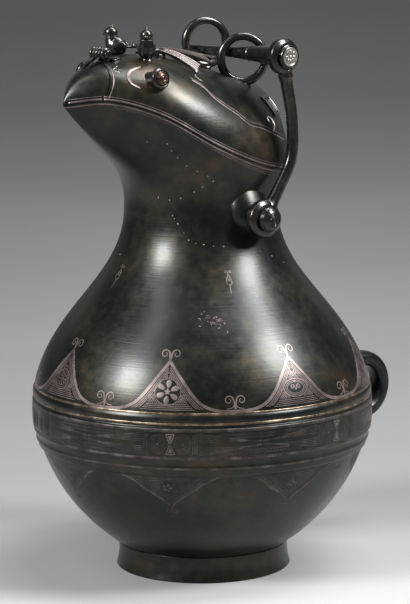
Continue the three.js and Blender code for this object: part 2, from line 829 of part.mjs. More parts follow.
// A crest plume: a tapered flat bar that widens and bows up towards its end
function crestPlume(number, grow = 0) {
  const fromMiddle = number - plumeEnds.length;
  const side = Math.sign(fromMiddle);
  const end = plumeEnds[Math.abs(fromMiddle)];
  const start = place(fromMiddle * plumeRoot.spread, plumeRoot.reach, plumeRootHeight);
  const finish = place(side * end.aside, end.reach, crownAt(end.aside, end.reach) + end.lift);
  const steps = 6;
  const along = new THREE.Vector3().subVectors(finish, start).normalize();
  const across = new THREE.Vector3().crossVectors(new THREE.Vector3(0, 0, 1), along).normalize();
  across.applyAxisAngle(along, side * end.roll * degrees);
  const up = new THREE.Vector3().crossVectors(along, across);
  start.addScaledVector(along, -grow);
  const rings = [];
  for (let i = 0; i <= steps; i += 1) {
    const t = i / steps;
    const middle = new THREE.Vector3().lerpVectors(start, finish, t);
    middle.z += plumeRise * 4 * t * (1 - t);
    const half = mix(plumeWidths[0], plumeWidths[1], t) / 2 + grow;
    const thick = plumeThickness / 2 + grow;
    const below = [[-1, -0.5], [-0.6, -1], [0.6, -1], [1, -0.5]];
    const section = [...below, ...below.map(([a, b]) => [-a, -b])];
    rings.push(section.map(([a, b]) => middle.clone()
      .addScaledVector(across, a * half).addScaledVector(up, b * thick)));
  }
  const toward = (ring) => {
    const sum = ring.reduce((total, point) => total.add(point), new THREE.Vector3());
    return ring.map(() => sum.clone().divideScalar(ring.length));
  };
  return solid(skin([toward(rings[0]), ...rings, toward(rings[steps])]));
}

const plumeNumbers = Array.from({ length: 2 * plumeEnds.length - 1 }, (_, i) => i + 1);

// The comb that carries the plumes' roots, seated on the crown
function crestComb() {
  const half = (plumeEnds.length - 1) * plumeRoot.spread + plumeWidths[0];
  const low = place(-half, plumeRoot.reach + combLength / 2, plumeRootHeight - 2 * sunk);
  const high = place(half, plumeRoot.reach - combLength / 2, plumeRootHeight);
  const sockets = plumeNumbers.map((number) => crestPlume(number, seatGap));
  return seatedOnHead(sockets.reduce((comb, socket) => comb.subtract(socket), solid(block(low, high))));
}

function lidRing(name) {
  const side = sides[name];
  const height = neckHeight + ringRises[name];
  const ring = new THREE.TorusGeometry(ringRadius, ringWire, 8, 24)
    .rotateY(Math.PI / 2)
    .rotateZ(-ringTurns[name] * degrees)
    .translate(side * ringAside, -ringReach, height);
  const foot = new THREE.CylinderGeometry(ringFootRadius * 0.8, ringFootRadius * 1.3, ringFootLength, 8)
    .rotateX(Math.PI / 2)
    .translate(side * ringAside, -ringReach, height - ringRadius - ringFootLength / 2);
  return seatedOnHead(solid(ring).add(solid(foot)));
}

function napePlaque() {
  const middle = neckHeight + plaqueRise;
  const plate = solid(block(
    place(-plaqueWidth / 2, -headRadius - sunk, middle - plaqueLength / 2),
    place(plaqueWidth / 2, -headRadius + 2 * sunk, middle + plaqueLength / 2),
  ));
  return seatedOnHead(plate.rotate([0, 0, -plaqueTurn]).intersect(upperHead(-seatGap - plaqueThickness, 0)));
}

// Assembly

const materials = Object.fromEntries(Object.entries(metals)
  .map(([name, look]) => [name, new THREE.MeshStandardMaterial(look)]));

function node(name, piece, metal) {
  const geometry = piece.isBufferGeometry ? closedGeometry(piece) : geometryOf(piece);
  geometry.computeVertexNormals();
  const mesh = new THREE.Mesh(geometry, materials[metal]);
  mesh.name = name;
  return mesh;
}

const ewer = new THREE.Group();
ewer.add(node('vessel_body', vesselBody(), 'bronze'));
ewer.add(node('foot_ring', footRing(), 'bronze'));
ewer.add(node('base_plate', basePlate(), 'bronze'));
ewer.add(node('rear_grip', rearGrip(), 'bronze'));
Object.entries(wireHeights).forEach(([name, height]) => {
  ewer.add(node(name, bellyWire(height), name.startsWith('gold') ? 'gold' : 'silver'));
});

function addAt(name, piece, metal, forward, height) {
  const mesh = node(name, piece, metal);
  mesh.position.copy(place(0, forward, height));
  ewer.add(mesh);
}

addAt('pivot_boss', pivotBoss(), 'bronze', 0, pivotHeight);
addAt('pivot_pin', pivotPin(), 'wornBronze', 0, pivotHeight);
addAt('pin_inlay', inlaidDisc(knobInlayRadius, knobLength), 'wornBronze', 0, pivotHeight);
ewer.add(node('arm_link', armLink(), 'wornBronze'));
addAt('crossbar', crossbar(), 'wornBronze', barReach, barHeight);
addAt('crossbar_cap', crossbarCap(), 'wornBronze', barReach, barHeight);
addAt('cap_inlay', inlaidDisc(capInlayRadius, capLength), 'silver', barReach, barHeight);

const eyeHoles = Object.values(sides).map((side) => solid(
  rod(eyeNeckRadius + seatGap, -eyeRoot - 1, eyeStand).applyMatrix4(eyePlace(side)),
));
ewer.add(node('lid_shell', lidShell(eyeHoles), 'bronze'));
ewer.add(node('beak_flap', beakFlap(), 'bronze'));
ewer.add(node('beak_hinge_leaf', beakHingeLeaf(), 'wornBronze'));
addAt('beak_hinge_pin', beakHingePin(), 'wornBronze', hingeReach, hingeHeight);
ewer.add(node('nape_plaque', napePlaque(), 'wornBronze'));
ewer.add(node('crest_comb', crestComb(), 'bronze'));
plumeNumbers.forEach((number) => ewer.add(node(`crest_plume_${number}`, crestPlume(number), 'bronze')));
Object.entries(sides).forEach(([sideName, side]) => {
  ewer.add(node(`eye_${sideName}`, eyePeg().applyMatrix4(eyePlace(side)), 'wornBronze'));
  ewer.add(node(`eye_inlay_${sideName}`, eyeInlay().applyMatrix4(eyePlace(side)), 'copper'));
  ewer.add(node(`small_bird_${sideName}`, smallBird(side), 'wornBronze'));
  ewer.add(node(`lid_ring_${sideName}`, lidRing(sideName), 'wornBronze'));
});

// The origin is under the middle of the whole ewer, on the surface that it stands on
ewer.position.y = -(gripReach - beakReach) / 2;

const whole = new THREE.Group();
whole.add(ewer);
export default whole;
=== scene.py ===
import math
import random

import bmesh
import bpy
import numpy as np
from mathutils import Matrix, Vector


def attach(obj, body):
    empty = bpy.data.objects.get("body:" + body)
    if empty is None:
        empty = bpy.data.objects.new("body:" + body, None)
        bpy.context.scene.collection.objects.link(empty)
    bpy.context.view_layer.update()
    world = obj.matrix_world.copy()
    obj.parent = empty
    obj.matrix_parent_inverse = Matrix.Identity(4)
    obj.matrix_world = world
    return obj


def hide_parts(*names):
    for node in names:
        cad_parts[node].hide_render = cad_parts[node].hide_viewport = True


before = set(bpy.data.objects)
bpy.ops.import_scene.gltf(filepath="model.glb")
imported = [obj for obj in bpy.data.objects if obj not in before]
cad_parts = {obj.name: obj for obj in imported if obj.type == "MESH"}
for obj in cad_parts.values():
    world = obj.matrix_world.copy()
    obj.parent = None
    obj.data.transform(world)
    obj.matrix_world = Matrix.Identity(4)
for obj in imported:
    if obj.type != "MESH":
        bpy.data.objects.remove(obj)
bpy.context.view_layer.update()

# Bird-shaped bronze ewer. The dictionaries are in millimetres and degrees: forward is towards the beak,
# aside is towards the bird's left and up is from the surface that the ewer stands on.

mm = 0.001
axisY = -29.75  # where the vessel's axis lies

vessel = {
    "wall": 3.0, "footHeight": 18.0, "footTop": 60.0, "floorHole": 46.0,
    "bellyRadius": 120.15, "bellyHeight": 112.0, "bandBottom": 90.0, "bandStep": 2.1, "bandBulge": 61.0,
    "neckRadius": 53.8, "neckHeight": 256.5, "lowerArms": (32, 32), "lowerSlopes": (35, 71),
    "upperArms": (68.7, 56), "ribs": [(125.9, 131.0, 0.7), (122.0, 124.2, -1.2), (95.0, 100.4, -0.9)],
}
head = {
    "arches": 97, "lidRows": 150, "tipRows": 60, "radius": 62.0, "beakReach": 119.5, "taper": 2.3, "tip": 1.4,
    "jawSlope": 48, "napeSlope": 75, "jawDraw": 2.8, "jawRoot": 0.38, "napeStart": -34, "napeFoot": 299,
    "napeRound": 0.36, "beakStart": 86, "beakRound": 0.68, "lidGap": 0.4, "seam": 101.0, "seamLean": 23,
    "seamGap": 0.7,
    "joint": [(-62, 277.5), (-30, 283.3), (0, 290.2), (35, 305.4), (71, 327.1), (98, 336.5), (119.5, 334)],
    "crown": [(-34, 344), (0, 352.5), (20, 358), (40, 363), (62, 365.5), (86, 361.5)],
}


def place(aside, forward, up):
    aside, forward, up = np.broadcast_arrays(*(np.asarray(v, float) for v in (aside, forward, up)))
    return np.stack([aside, axisY - forward, up], axis=-1)


def mix(a, b, t):
    return a + (b - a) * t


def fullTurn(count):
    return np.linspace(0, 2 * math.pi, count, endpoint=False)


def lengthAlong(points, power=1):
    # the length of a course up to each of its points
    steps = np.linalg.norm(np.diff(points, axis=0), axis=1) ** power
    return np.concatenate([[0], np.cumsum(steps)])


def through(points):
    # a smooth curve through a few points, read at any x
    x = np.array([p[0] for p in points], float)
    y = np.array([p[1] for p in points], float)
    slope = np.array([(y[min(i + 1, len(x) - 1)] - y[max(i - 1, 0)])
                      / (x[min(i + 1, len(x) - 1)] - x[max(i - 1, 0)])
                      for i in range(len(x))])

    def read(at):
        at = np.asarray(at, float)
        i = np.clip(np.searchsorted(x, at, side="right") - 1, 0, len(x) - 2)
        span = x[i + 1] - x[i]
        t = np.clip((at - x[i]) / span, 0, 1)
        rise = span * (slope[i] * t * (1 - t) ** 2 - slope[i + 1] * t ** 2 * (1 - t))
        inside = rise + mix(y[i], y[i + 1], t * t * (3 - 2 * t))
        outside = np.where(at < x[0], slope[0] * (at - x[0]), 0)
        outside = outside + np.where(at > x[-1], slope[-1] * (at - x[-1]), 0)
        return inside + outside
    return read


def bezier(points, t):
    a, b, c, d = (np.asarray(p, float) for p in points)
    t = np.asarray(t, float)[..., None]
    return a * (1 - t) ** 3 + 3 * b * t * (1 - t) ** 2 + 3 * c * t ** 2 * (1 - t) + d * t ** 3


# Outline of the vessel

def bandSwell(height):
    return vessel["bandBulge"] - np.sqrt(vessel["bandBulge"] ** 2 - (vessel["bellyHeight"] - height) ** 2)


def slopeArm(angle, length):
    return np.array([math.cos(math.radians(angle)), math.sin(math.radians(angle))]) * length


def vesselOutline():
    v = vessel
    under = np.array([v["bellyRadius"] - bandSwell(v["bandBottom"]) - v["bandStep"],
                      v["bandBottom"] - v["bandStep"]])
    foot = np.array([v["footTop"], v["footHeight"]])
    lower = bezier([foot, foot + slopeArm(v["lowerSlopes"][0], v["lowerArms"][0]),
                    under - slopeArm(v["lowerSlopes"][1], v["lowerArms"][1]), under], np.linspace(0, 1, 36))
    step = np.array([(under[0] + v["bandStep"] * s, under[1] + v["bandStep"] * h)
                     for s, h in ((0.35, 0.12), (0.75, 0.4), (0.95, 0.75))])
    bandHeights = np.concatenate([np.arange(v["bandBottom"] + 0.6, v["bellyHeight"], 0.9),
                                  [v["bellyHeight"]]])
    band = np.stack([v["bellyRadius"] - bandSwell(bandHeights), bandHeights], axis=-1)
    neck = (v["neckRadius"], v["neckHeight"])
    upper = bezier([(v["bellyRadius"], v["bellyHeight"]),
                    (v["bellyRadius"], v["bellyHeight"] + v["upperArms"][0]),
                    (neck[0], neck[1] - v["upperArms"][1]), neck], np.linspace(0, 1, 260))
    return lower, step, band, upper


lowerBelly, bandEdge, bandSide, upperBelly = vesselOutline()
smoothOutline = np.concatenate([lowerBelly, bandEdge, bandSide, upperBelly[1:]])


def relief(height):
    # the rib and the grooves that run round the belly
    total = np.zeros_like(np.asarray(height, float))
    for low, high, amount in vessel["ribs"]:
        t = np.clip((height - low) / (high - low), 0, 1)
        total = total + amount * np.clip(np.sin(math.pi * t), 0, 1) ** 0.5
    return total


def bellyRadius(height):
    return np.interp(height, smoothOutline[:, 1], smoothOutline[:, 0])


def bellyPoint(turn, height, out=0.0):
    # turn in radians from the beak towards the bird's left
    radius = bellyRadius(height) + relief(height)
    step = 0.5
    slope = (bellyRadius(height + step) - bellyRadius(height - step)) / (2 * step)
    along = 1 / np.sqrt(1 + slope ** 2)
    far = radius + out * along
    return place(far * np.sin(turn), far * np.cos(turn), height - out * slope * along)


# Form of the head

jointHeight = through(head["joint"])
crownTop = through(head["crown"])


def headWidth(forward, inset=0.0):
    radius = head["radius"] - inset
    reach = head["beakReach"] - head["tip"] * inset
    back = np.sqrt(np.clip(1 - (np.minimum(forward, 0) / radius) ** 2, 0, 1))
    front = 1 - np.clip(np.maximum(forward, 0) / reach, 0, 1) ** head["taper"]
    return radius * np.where(np.asarray(forward) < 0, back, front)


def crownHeight(forward, inset=0.0):
    forward = np.asarray(forward, float)
    top = crownTop(np.minimum(forward, head["beakStart"])) - inset
    reach = head["beakReach"] - head["tip"] * inset
    tip = jointHeight(reach)
    t = np.clip((forward - head["beakStart"]) / (reach - head["beakStart"]), 0, 1)
    top = np.where(forward > head["beakStart"], tip + (top - tip) * (1 - t * t) ** head["beakRound"], top)
    t = np.clip((head["napeStart"] - forward) / (head["napeStart"] + head["radius"] - inset), 0, 1)
    foot = head["napeFoot"]
    return np.where(forward < head["napeStart"], foot + (top - foot) * (1 - t * t) ** head["napeRound"], top)


def headPoint(forward, arch, inset=0.0):
    # arch in radians: 0 at the joint line on the bird's left, 90 degrees on the crown, 180 on the right
    base = jointHeight(forward) + head["lidGap"]
    rise = np.maximum(crownHeight(forward, inset) - base, 0)
    return place(headWidth(forward, inset) * np.cos(arch), forward, base + rise * np.sin(arch))


def crownAt(aside, forward):
    base = float(jointHeight(forward))
    share = min(abs(aside) / float(headWidth(forward)), 1)
    return base + (float(crownHeight(forward)) - base) * math.sqrt(1 - share ** 2)


def jawPoint(turn, along, inset=0.0):
    # along is 0 at the neck and 1 at the joint line
    h = head
    turn, along = np.broadcast_arrays(np.asarray(turn, float), np.asarray(along, float))
    cosine = np.cos(turn)
    reach = h["beakReach"] - h["tip"] * inset
    outer = h["radius"] - inset
    front = np.clip(cosine, 0, 1)
    aside = np.where(cosine > 0, np.sign(np.sin(turn)) * outer * (1 - front ** h["taper"]),
                     outer * np.sin(turn))
    forward = np.where(cosine > 0, reach * cosine, outer * cosine)
    radius = vessel["neckRadius"] - inset
    lean = np.clip((np.hypot(aside, forward) - h["radius"] + inset) / (h["beakReach"] - h["radius"]), 0, 1)
    start = np.stack([radius * np.sin(turn), radius * cosine, np.full_like(turn, vessel["neckHeight"])],
                     axis=-1)
    end = np.stack([aside, forward, jointHeight(forward)], axis=-1)
    rise = end[..., 2] - start[..., 2]
    outward = end - start
    outward[..., 2] = 0
    outward /= np.maximum(np.linalg.norm(outward, axis=-1, keepdims=True), 1e-6)
    slope = np.radians(mix(h["napeSlope"], h["jawSlope"], np.sqrt(lean)))
    arm = rise * mix(h["jawRoot"], 2 * h["jawRoot"], lean)
    first = start * (1 - h["jawDraw"] * lean / radius)[..., None]
    first[..., 2] = start[..., 2] + h["jawRoot"] * rise
    second = end - outward * (arm * np.cos(slope))[..., None]
    second[..., 2] -= arm * np.sin(slope)
    point = bezier([start, first, second, end], along)
    return place(point[..., 0], point[..., 1], point[..., 2])


# Making meshes

def joinGrids(grids):
    # each grid is (points, closed along its rows, closed along its columns)
    corners, faces, count = [], [], 0
    for points, roundRows, roundColumns in grids:
        rows, columns = points.shape[:2]
        index = count + np.arange(rows * columns).reshape(rows, columns)
        below = np.roll(index, -1, axis=0) if roundRows else index[1:]
        above = index if roundRows else index[:-1]
        if roundColumns:
            quads = np.stack([above, np.roll(above, -1, axis=1), np.roll(below, -1, axis=1), below], axis=-1)
        else:
            quads = np.stack([above[:, :-1], above[:, 1:], below[:, 1:], below[:, :-1]], axis=-1)
        corners.append(points.reshape(-1, 3))
        faces.append(quads.reshape(-1, 4))
        count += rows * columns
    return np.concatenate(corners), np.concatenate(faces)


def joinMeshes(first, second):
    return np.concatenate([first[0], second[0]]), np.concatenate([first[1], second[1] + len(first[0])])


def capped(points, middles=None):
    # draws both ends of a row of rings in to a point each, by default the middle of the ring
    if middles is None:
        middles = points[[0, -1]].mean(axis=1)
    first, last = (np.repeat(np.asarray(middle)[None, None], points.shape[1], axis=1) for middle in middles)
    return np.concatenate([first, points, last])


def makeMesh(name, corners, faces, sharpAngle=32, weld=True):
    mesh = bpy.data.meshes.new(name)
    mesh.from_pydata((np.asarray(corners) * mm).tolist(), [], np.asarray(faces).tolist())
    if weld:
        work = bmesh.new()
        work.from_mesh(mesh)
        bmesh.ops.remove_doubles(work, verts=work.verts, dist=2e-6)
        bmesh.ops.dissolve_degenerate(work, edges=work.edges, dist=1e-6)
        bmesh.ops.recalc_face_normals(work, faces=work.faces)
        work.to_mesh(mesh)
        work.free()
    mesh.shade_smooth()
    mesh.set_sharp_from_angle(angle=math.radians(sharpAngle))
    return mesh


def addPiece(name, mesh, finish, body, slotName, standsFor=()):
    piece = bpy.data.objects.new(name, mesh)
    bpy.context.scene.collection.objects.link(piece)
    mesh.materials.append(finish)
    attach(piece, body)
    if standsFor:
        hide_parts(*standsFor)
    return piece


def gridPiece(name, grids, finish, body, slotName, standsFor=(), sharpAngle=32):
    corners, faces = joinGrids(grids)
    return addPiece(name, makeMesh(name, corners, faces, sharpAngle), finish, body, slotName, standsFor)


def turnedGrid(outline, toward="up", at=(0.0, 0.0, 0.0), segments=48):
    # outline: radius and height points, round the Z axis or the X axis, at aside, forward and up
    outline = np.asarray(outline, float)
    turns = fullTurn(segments)
    a = outline[:, :1] * np.cos(turns)
    b = outline[:, :1] * np.sin(turns)
    height = np.broadcast_to(outline[:, 1:], a.shape)
    if toward == "up":
        points = place(at[0] + a, at[1] + b, at[2] + height)
    else:
        points = place(at[0] + height, at[1] + a, at[2] + b)
    return points, False, True


def rounded(outline, amount=0.4, steps=3):
    # rounds the corners of an open outline
    outline = [np.asarray(p, float) for p in outline]
    result = [outline[0]]
    for before, corner, after in zip(outline, outline[1:], outline[2:]):
        toBefore, toAfter = before - corner, after - corner
        first, second = np.linalg.norm(toBefore), np.linalg.norm(toAfter)
        cut = min(amount, 0.45 * first, 0.45 * second)
        if cut < 1e-3:
            result.append(corner)
            continue
        start, end = corner + toBefore / first * cut, corner + toAfter / second * cut
        for t in np.linspace(0, 1, steps + 1):
            result.append(start * (1 - t) ** 2 + 2 * corner * t * (1 - t) + end * t ** 2)
    result.append(outline[-1])
    return np.array(result)


def tubeGrid(path, radii, around=20, closed=False, squeeze=(1.0, 1.0), up=(1.0, 0.0, 0.0)):
    # a rod along points; squeeze widens it along up and across it
    path = np.asarray(path, float)
    radii = np.broadcast_to(np.asarray(radii, float), len(path))
    if closed:
        along = np.roll(path, -1, axis=0) - np.roll(path, 1, axis=0)
    else:
        along = np.gradient(path, axis=0)
    along /= np.linalg.norm(along, axis=1, keepdims=True)
    up = np.broadcast_to(np.asarray(up, float), path.shape)
    across = np.cross(along, up)
    across /= np.linalg.norm(across, axis=1, keepdims=True)
    lift = np.cross(across, along)
    turns = fullTurn(around)
    points = (path[:, None] + lift[:, None] * (radii[:, None] * squeeze[0] * np.cos(turns))[..., None]
              + across[:, None] * (radii[:, None] * squeeze[1] * np.sin(turns))[..., None])
    if not closed:
        points = capped(points, path[[0, -1]])
    return points, closed, True


def placed(path):
    # points in aside, forward and up
    return place(*np.asarray(path, float).T)


def tipped(angle):
    # a turn about a line from side to side
    cosine, sine = math.cos(angle), math.sin(angle)
    return np.array([[1, 0, 0], [0, cosine, -sine], [0, sine, cosine]])


def ballGrid(middle, sizes, rings=18, around=28, turned=None):
    # an egg: middle in aside, forward and up, with its three half sizes
    low = np.linspace(-math.pi / 2, math.pi / 2, rings)[:, None]
    turns = fullTurn(around)
    egg = np.stack([sizes[0] * np.cos(low) * np.cos(turns), sizes[1] * np.cos(low) * np.sin(turns),
                    sizes[2] * np.sin(low) + 0 * turns], axis=-1)
    if turned is not None:
        egg = egg @ np.asarray(turned).T
    return egg + np.asarray(middle, float), False, True


def fuse(name, grids, voxel=0.45, smoothing=4):
    # melts overlapping forms into one skin, as a cast piece has
    corners, faces = joinGrids(grids)
    mesh = makeMesh(name + "Forms", corners, faces)
    holder = bpy.data.objects.new(name + "Forms", mesh)
    bpy.context.scene.collection.objects.link(holder)
    remesh = holder.modifiers.new("melt", "REMESH")
    remesh.mode = "VOXEL"
    remesh.voxel_size = voxel * mm
    soften = holder.modifiers.new("soften", "SMOOTH")
    soften.iterations = smoothing
    soften.factor = 0.5
    melted = bpy.data.meshes.new_from_object(holder.evaluated_get(bpy.context.evaluated_depsgraph_get()))
    bpy.data.objects.remove(holder)
    melted.name = name
    melted.shade_smooth()
    return melted


# Finishes

def startFinish(name):
    finish = bpy.data.materials.new(name)
    finish.use_nodes = True
    nodes, links = finish.node_tree.nodes, finish.node_tree.links
    return finish, nodes, links, nodes["Principled BSDF"]


def noiseNode(nodes, links, source, scale, detail=4.0, roughness=0.55, stretch=None):
    if stretch:
        mapping = nodes.new("ShaderNodeMapping")
        mapping.inputs["Scale"].default_value = stretch
        links.new(source, mapping.inputs["Vector"])
        source = mapping.outputs["Vector"]
    noise = nodes.new("ShaderNodeTexNoise")
    noise.inputs["Scale"].default_value = scale
    noise.inputs["Detail"].default_value = detail
    noise.inputs["Roughness"].default_value = roughness
    links.new(source, noise.inputs["Vector"])
    return noise.outputs["Fac"]


def rampNode(nodes, links, source, stops):
    ramp = nodes.new("ShaderNodeValToRGB")
    while len(ramp.color_ramp.elements) < len(stops):
        ramp.color_ramp.elements.new(0.5)
    for element, (position, colour) in zip(ramp.color_ramp.elements, stops):
        element.position = position
        element.color = (*colour, 1)
    links.new(source, ramp.inputs["Fac"])
    return ramp.outputs["Color"]


def blendNode(nodes, links, first, second, share):
    blend = nodes.new("ShaderNodeMix")
    blend.data_type = "FLOAT"
    blend.inputs["Factor"].default_value = share
    links.new(first, blend.inputs["A"])
    links.new(second, blend.inputs["B"])
    return blend.outputs["Result"]


def addGrain(nodes, links, shader, wear, ends, height, strength, depth):
    # roughness that follows the wear, and a fine relief
    rough = nodes.new("ShaderNodeMapRange")
    for key, value in zip(("From Min", "From Max", "To Min", "To Max"), (0.3, 0.7, *ends)):
        rough.inputs[key].default_value = value
    links.new(wear, rough.inputs["Value"])
    links.new(rough.outputs["Result"], shader.inputs["Roughness"])
    bump = nodes.new("ShaderNodeBump")
    bump.inputs["Strength"].default_value = strength
    bump.inputs["Distance"].default_value = depth
    links.new(height, bump.inputs["Height"])
    links.new(bump.outputs["Normal"], shader.inputs["Normal"])


def bronzeFinish(name, look):
    finish, nodes, links, shader = startFinish(name)
    where = nodes.new("ShaderNodeTexCoord").outputs["Object"]
    patches = noiseNode(nodes, links, where, look["patchScale"], 5, 0.6)
    specks = noiseNode(nodes, links, where, look["speckScale"], 6, 0.65)
    blend = blendNode(nodes, links, patches, specks, look["speckShare"])
    links.new(rampNode(nodes, links, blend, look["colours"]), shader.inputs["Base Color"])
    shader.inputs["Metallic"].default_value = look["metallic"]
    streaks = noiseNode(nodes, links, where, look["streakScale"], 3, 0.6, look["streakStretch"])
    addGrain(nodes, links, shader, specks, look["roughness"], streaks, look["streakBump"], 0.0002)
    shader.inputs["Coat Weight"].default_value = look["coat"]
    shader.inputs["Coat Roughness"].default_value = look["coatRoughness"]
    return finish


def inlayFinish(name, look):
    finish, nodes, links, shader = startFinish(name)
    where = nodes.new("ShaderNodeTexCoord").outputs["Object"]
    tarnish = noiseNode(nodes, links, where, look["tarnishScale"], 5, 0.65)
    links.new(rampNode(nodes, links, tarnish, look["colours"]), shader.inputs["Base Color"])
    shader.inputs["Metallic"].default_value = look["metallic"]
    grain = noiseNode(nodes, links, where, look["bumpScale"], 3, 0.6)
    addGrain(nodes, links, shader, tarnish, look["roughness"], grain, look["bump"], 0.0001)
    return finish


darkBronze = bronzeFinish("darkBronze", {
    "patchScale": 19, "speckScale": 120, "speckShare": 0.35, "metallic": 0.6,
    "colours": [(0.32, (0.0034, 0.0048, 0.0053)), (0.46, (0.0065, 0.0080, 0.0077)),
                (0.56, (0.017, 0.0165, 0.0105)), (0.67, (0.042, 0.027, 0.0145))],
    "streakScale": 1.0, "streakStretch": (9, 9, 1100), "streakBump": 0.45,
    "roughness": (0.27, 0.37), "coat": 0.1, "coatRoughness": 0.2,
})
handledBronze = bronzeFinish("handledBronze", {
    "patchScale": 60, "speckScale": 260, "speckShare": 0.4, "metallic": 0.75,
    "colours": [(0.3, (0.0075, 0.0083, 0.0083)), (0.5, (0.017, 0.017, 0.0155)), (0.7, (0.040, 0.033, 0.025))],
    "streakScale": 1.0, "streakStretch": (400, 400, 400), "streakBump": 0.25,
    "roughness": (0.22, 0.34), "coat": 0.45, "coatRoughness": 0.14,
})
silverInlay = inlayFinish("silverInlay", {
    "tarnishScale": 60, "metallic": 0.6, "roughness": (0.32, 0.46), "bump": 0.35, "bumpScale": 900,
    "colours": [(0.3, (0.066, 0.048, 0.043)), (0.5, (0.13, 0.102, 0.096)), (0.7, (0.205, 0.17, 0.158))],
})
dimSilver = inlayFinish("dimSilver", {
    "tarnishScale": 110, "metallic": 0.7, "roughness": (0.34, 0.5), "bump": 0.3, "bumpScale": 900,
    "colours": [(0.34, (0.020, 0.017, 0.0155)), (0.52, (0.058, 0.051, 0.047)), (0.72, (0.125, 0.11, 0.10))],
})
paleSilver = inlayFinish("paleSilver", {
    "tarnishScale": 160, "metallic": 0.8, "roughness": (0.26, 0.4), "bump": 0.3, "bumpScale": 900,
    "colours": [(0.3, (0.12, 0.108, 0.10)), (0.5, (0.28, 0.26, 0.24)), (0.7, (0.44, 0.42, 0.39))],
})
goldWire = inlayFinish("goldWire", {
    "tarnishScale": 120, "metallic": 0.85, "roughness": (0.24, 0.38), "bump": 0.3, "bumpScale": 700,
    "colours": [(0.3, (0.05, 0.034, 0.024)), (0.5, (0.14, 0.105, 0.072)), (0.7, (0.36, 0.29, 0.20))],
})
copperInlay = inlayFinish("copperInlay", {
    "tarnishScale": 150, "metallic": 0.85, "roughness": (0.2, 0.34), "bump": 0.3, "bumpScale": 700,
    "colours": [(0.3, (0.035, 0.018, 0.012)), (0.5, (0.082, 0.047, 0.032)), (0.7, (0.15, 0.092, 0.066))],
})
print("finishes made")


# Vessel body, with its grooves, jaw and rim

def vesselPieces():
    turns = fullTurn(240)

    def levels(outline):
        return np.stack([place(r * np.sin(turns), r * np.cos(turns), z) for r, z in outline])

    upperHeights = np.concatenate([np.arange(112.5, 136, 0.45), np.linspace(137, vessel["neckHeight"], 60)])
    outline = [*lowerBelly, *bandEdge, *[(float(bellyRadius(z) + relief(z)), z) for z in bandSide[:, 1]],
               *[(float(bellyRadius(z) + relief(z)), float(z)) for z in upperHeights]]
    along = np.linspace(0, 1, 34)[1:]
    jaw = np.stack([jawPoint(turns, a) for a in along])
    innerJaw = np.stack([jawPoint(turns, a, vessel["wall"]) for a in np.linspace(0, 1, 14)[1:]])
    inner = []
    bare = np.concatenate([lowerBelly[4::4], [(vessel["bellyRadius"], vessel["bellyHeight"])],
                           upperBelly[12::12]])
    tangents = np.gradient(bare, axis=0)
    tangents /= np.linalg.norm(tangents, axis=1, keepdims=True)
    for (radius, height), (tx, tz) in zip(bare, tangents):
        inner.append((radius - tz * vessel["wall"], height + tx * vessel["wall"]))
    inner = [(vessel["footTop"] - vessel["wall"], vessel["footHeight"] + vessel["wall"]), *inner]
    inner = [p for p in inner if p[1] <= vessel["neckHeight"] - 2]
    hole = [(vessel["floorHole"], vessel["footHeight"] + vessel["wall"]),
            (vessel["floorHole"], vessel["footHeight"])]
    rings = np.concatenate([levels(outline), jaw, innerJaw[::-1], levels(inner[::-1]), levels(hole)])
    gridPiece("castVessel", [(rings, True, True)], darkBronze, "vessel", "bronze", ["vessel_body"])


vesselPieces()

footRing = {"rimRadius": 61.8, "topRadius": 60.0, "wall": 9.0, "height": 17.7, "waist": 0.9}


def footPiece():
    f = footRing
    side = [(mix(f["rimRadius"], f["topRadius"], t) - f["waist"] * math.sin(math.pi * t),
             mix(0.6, f["height"], t))
            for t in np.linspace(0, 1, 14)]
    outline = rounded([(f["rimRadius"] - f["wall"], 0), (f["rimRadius"] - 0.7, 0), *side,
                       (f["topRadius"] - f["wall"], f["height"]), (f["rimRadius"] - f["wall"], 0)], 0.35)
    grids = [turnedGrid(outline, segments=200)]
    gridPiece("ringFoot", grids, darkBronze, "vessel", "bronze", ["foot_ring"], 50)


footPiece()

wireLook = {"width": 1.5, "proud": 0.25, "depth": 0.8, "segments": 220}


def wirePiece(name, node, height, finish, slotName):
    half = wireLook["width"] / 2
    radius = float(bellyRadius(height))
    slope = float(bellyRadius(height + 1) - bellyRadius(height - 1)) / 2
    depth, proud = wireLook["depth"], wireLook["proud"]
    section = [(-half, -depth), (-half, 0.05), (-half * 0.6, proud * 0.85), (0, proud),
               (half * 0.6, proud * 0.85), (half, 0.05), (half, -depth), (-half, -depth)]
    outline = [(radius + slope * up + out, height + up) for up, out in section]
    grids = [turnedGrid(outline, segments=wireLook["segments"])]
    gridPiece(name, grids, finish, "vessel", slotName, [node], 60)


wirePiece("goldWireUpper", "gold_wire_upper", 131.8, goldWire, "gold_inlay")
wirePiece("goldWireLower", "gold_wire_lower", 125.0, goldWire, "gold_inlay")
wirePiece("silverWireUpper", "silver_wire_upper", 121.2, dimSilver, "silver_inlay")
wirePiece("silverWireMiddle", "silver_wire_middle", 101.3, dimSilver, "silver_inlay")
wirePiece("silverWireLower", "silver_wire_lower", 94.0, dimSilver, "silver_inlay")
print("vessel, foot and wires made")


# Lid and beak tip: sections across the head, outside and inside, closed at their edges

beakTip = {"knuckles": 5, "knuckleWidth": 3.1, "knuckleRadius": 4.8, "ribs": 1, "ribDepth": 1.1,
           "hinge": 87.0, "hingeHeight": 366.88, "gap": 0.3, "pinRadius": 1.7, "pinHead": 3.0,
           "leafBack": 75.0, "leafFront": 82.5,
           "strap": [(2.0, 364.8), (4.5, 363.5), (7.5, 361.9), (10.5, 360.4), (13.5, 357.6)],
           "leafStrap": [(2.0, 364.6), (4.5, 363.9), (8.0, 363.9)]}


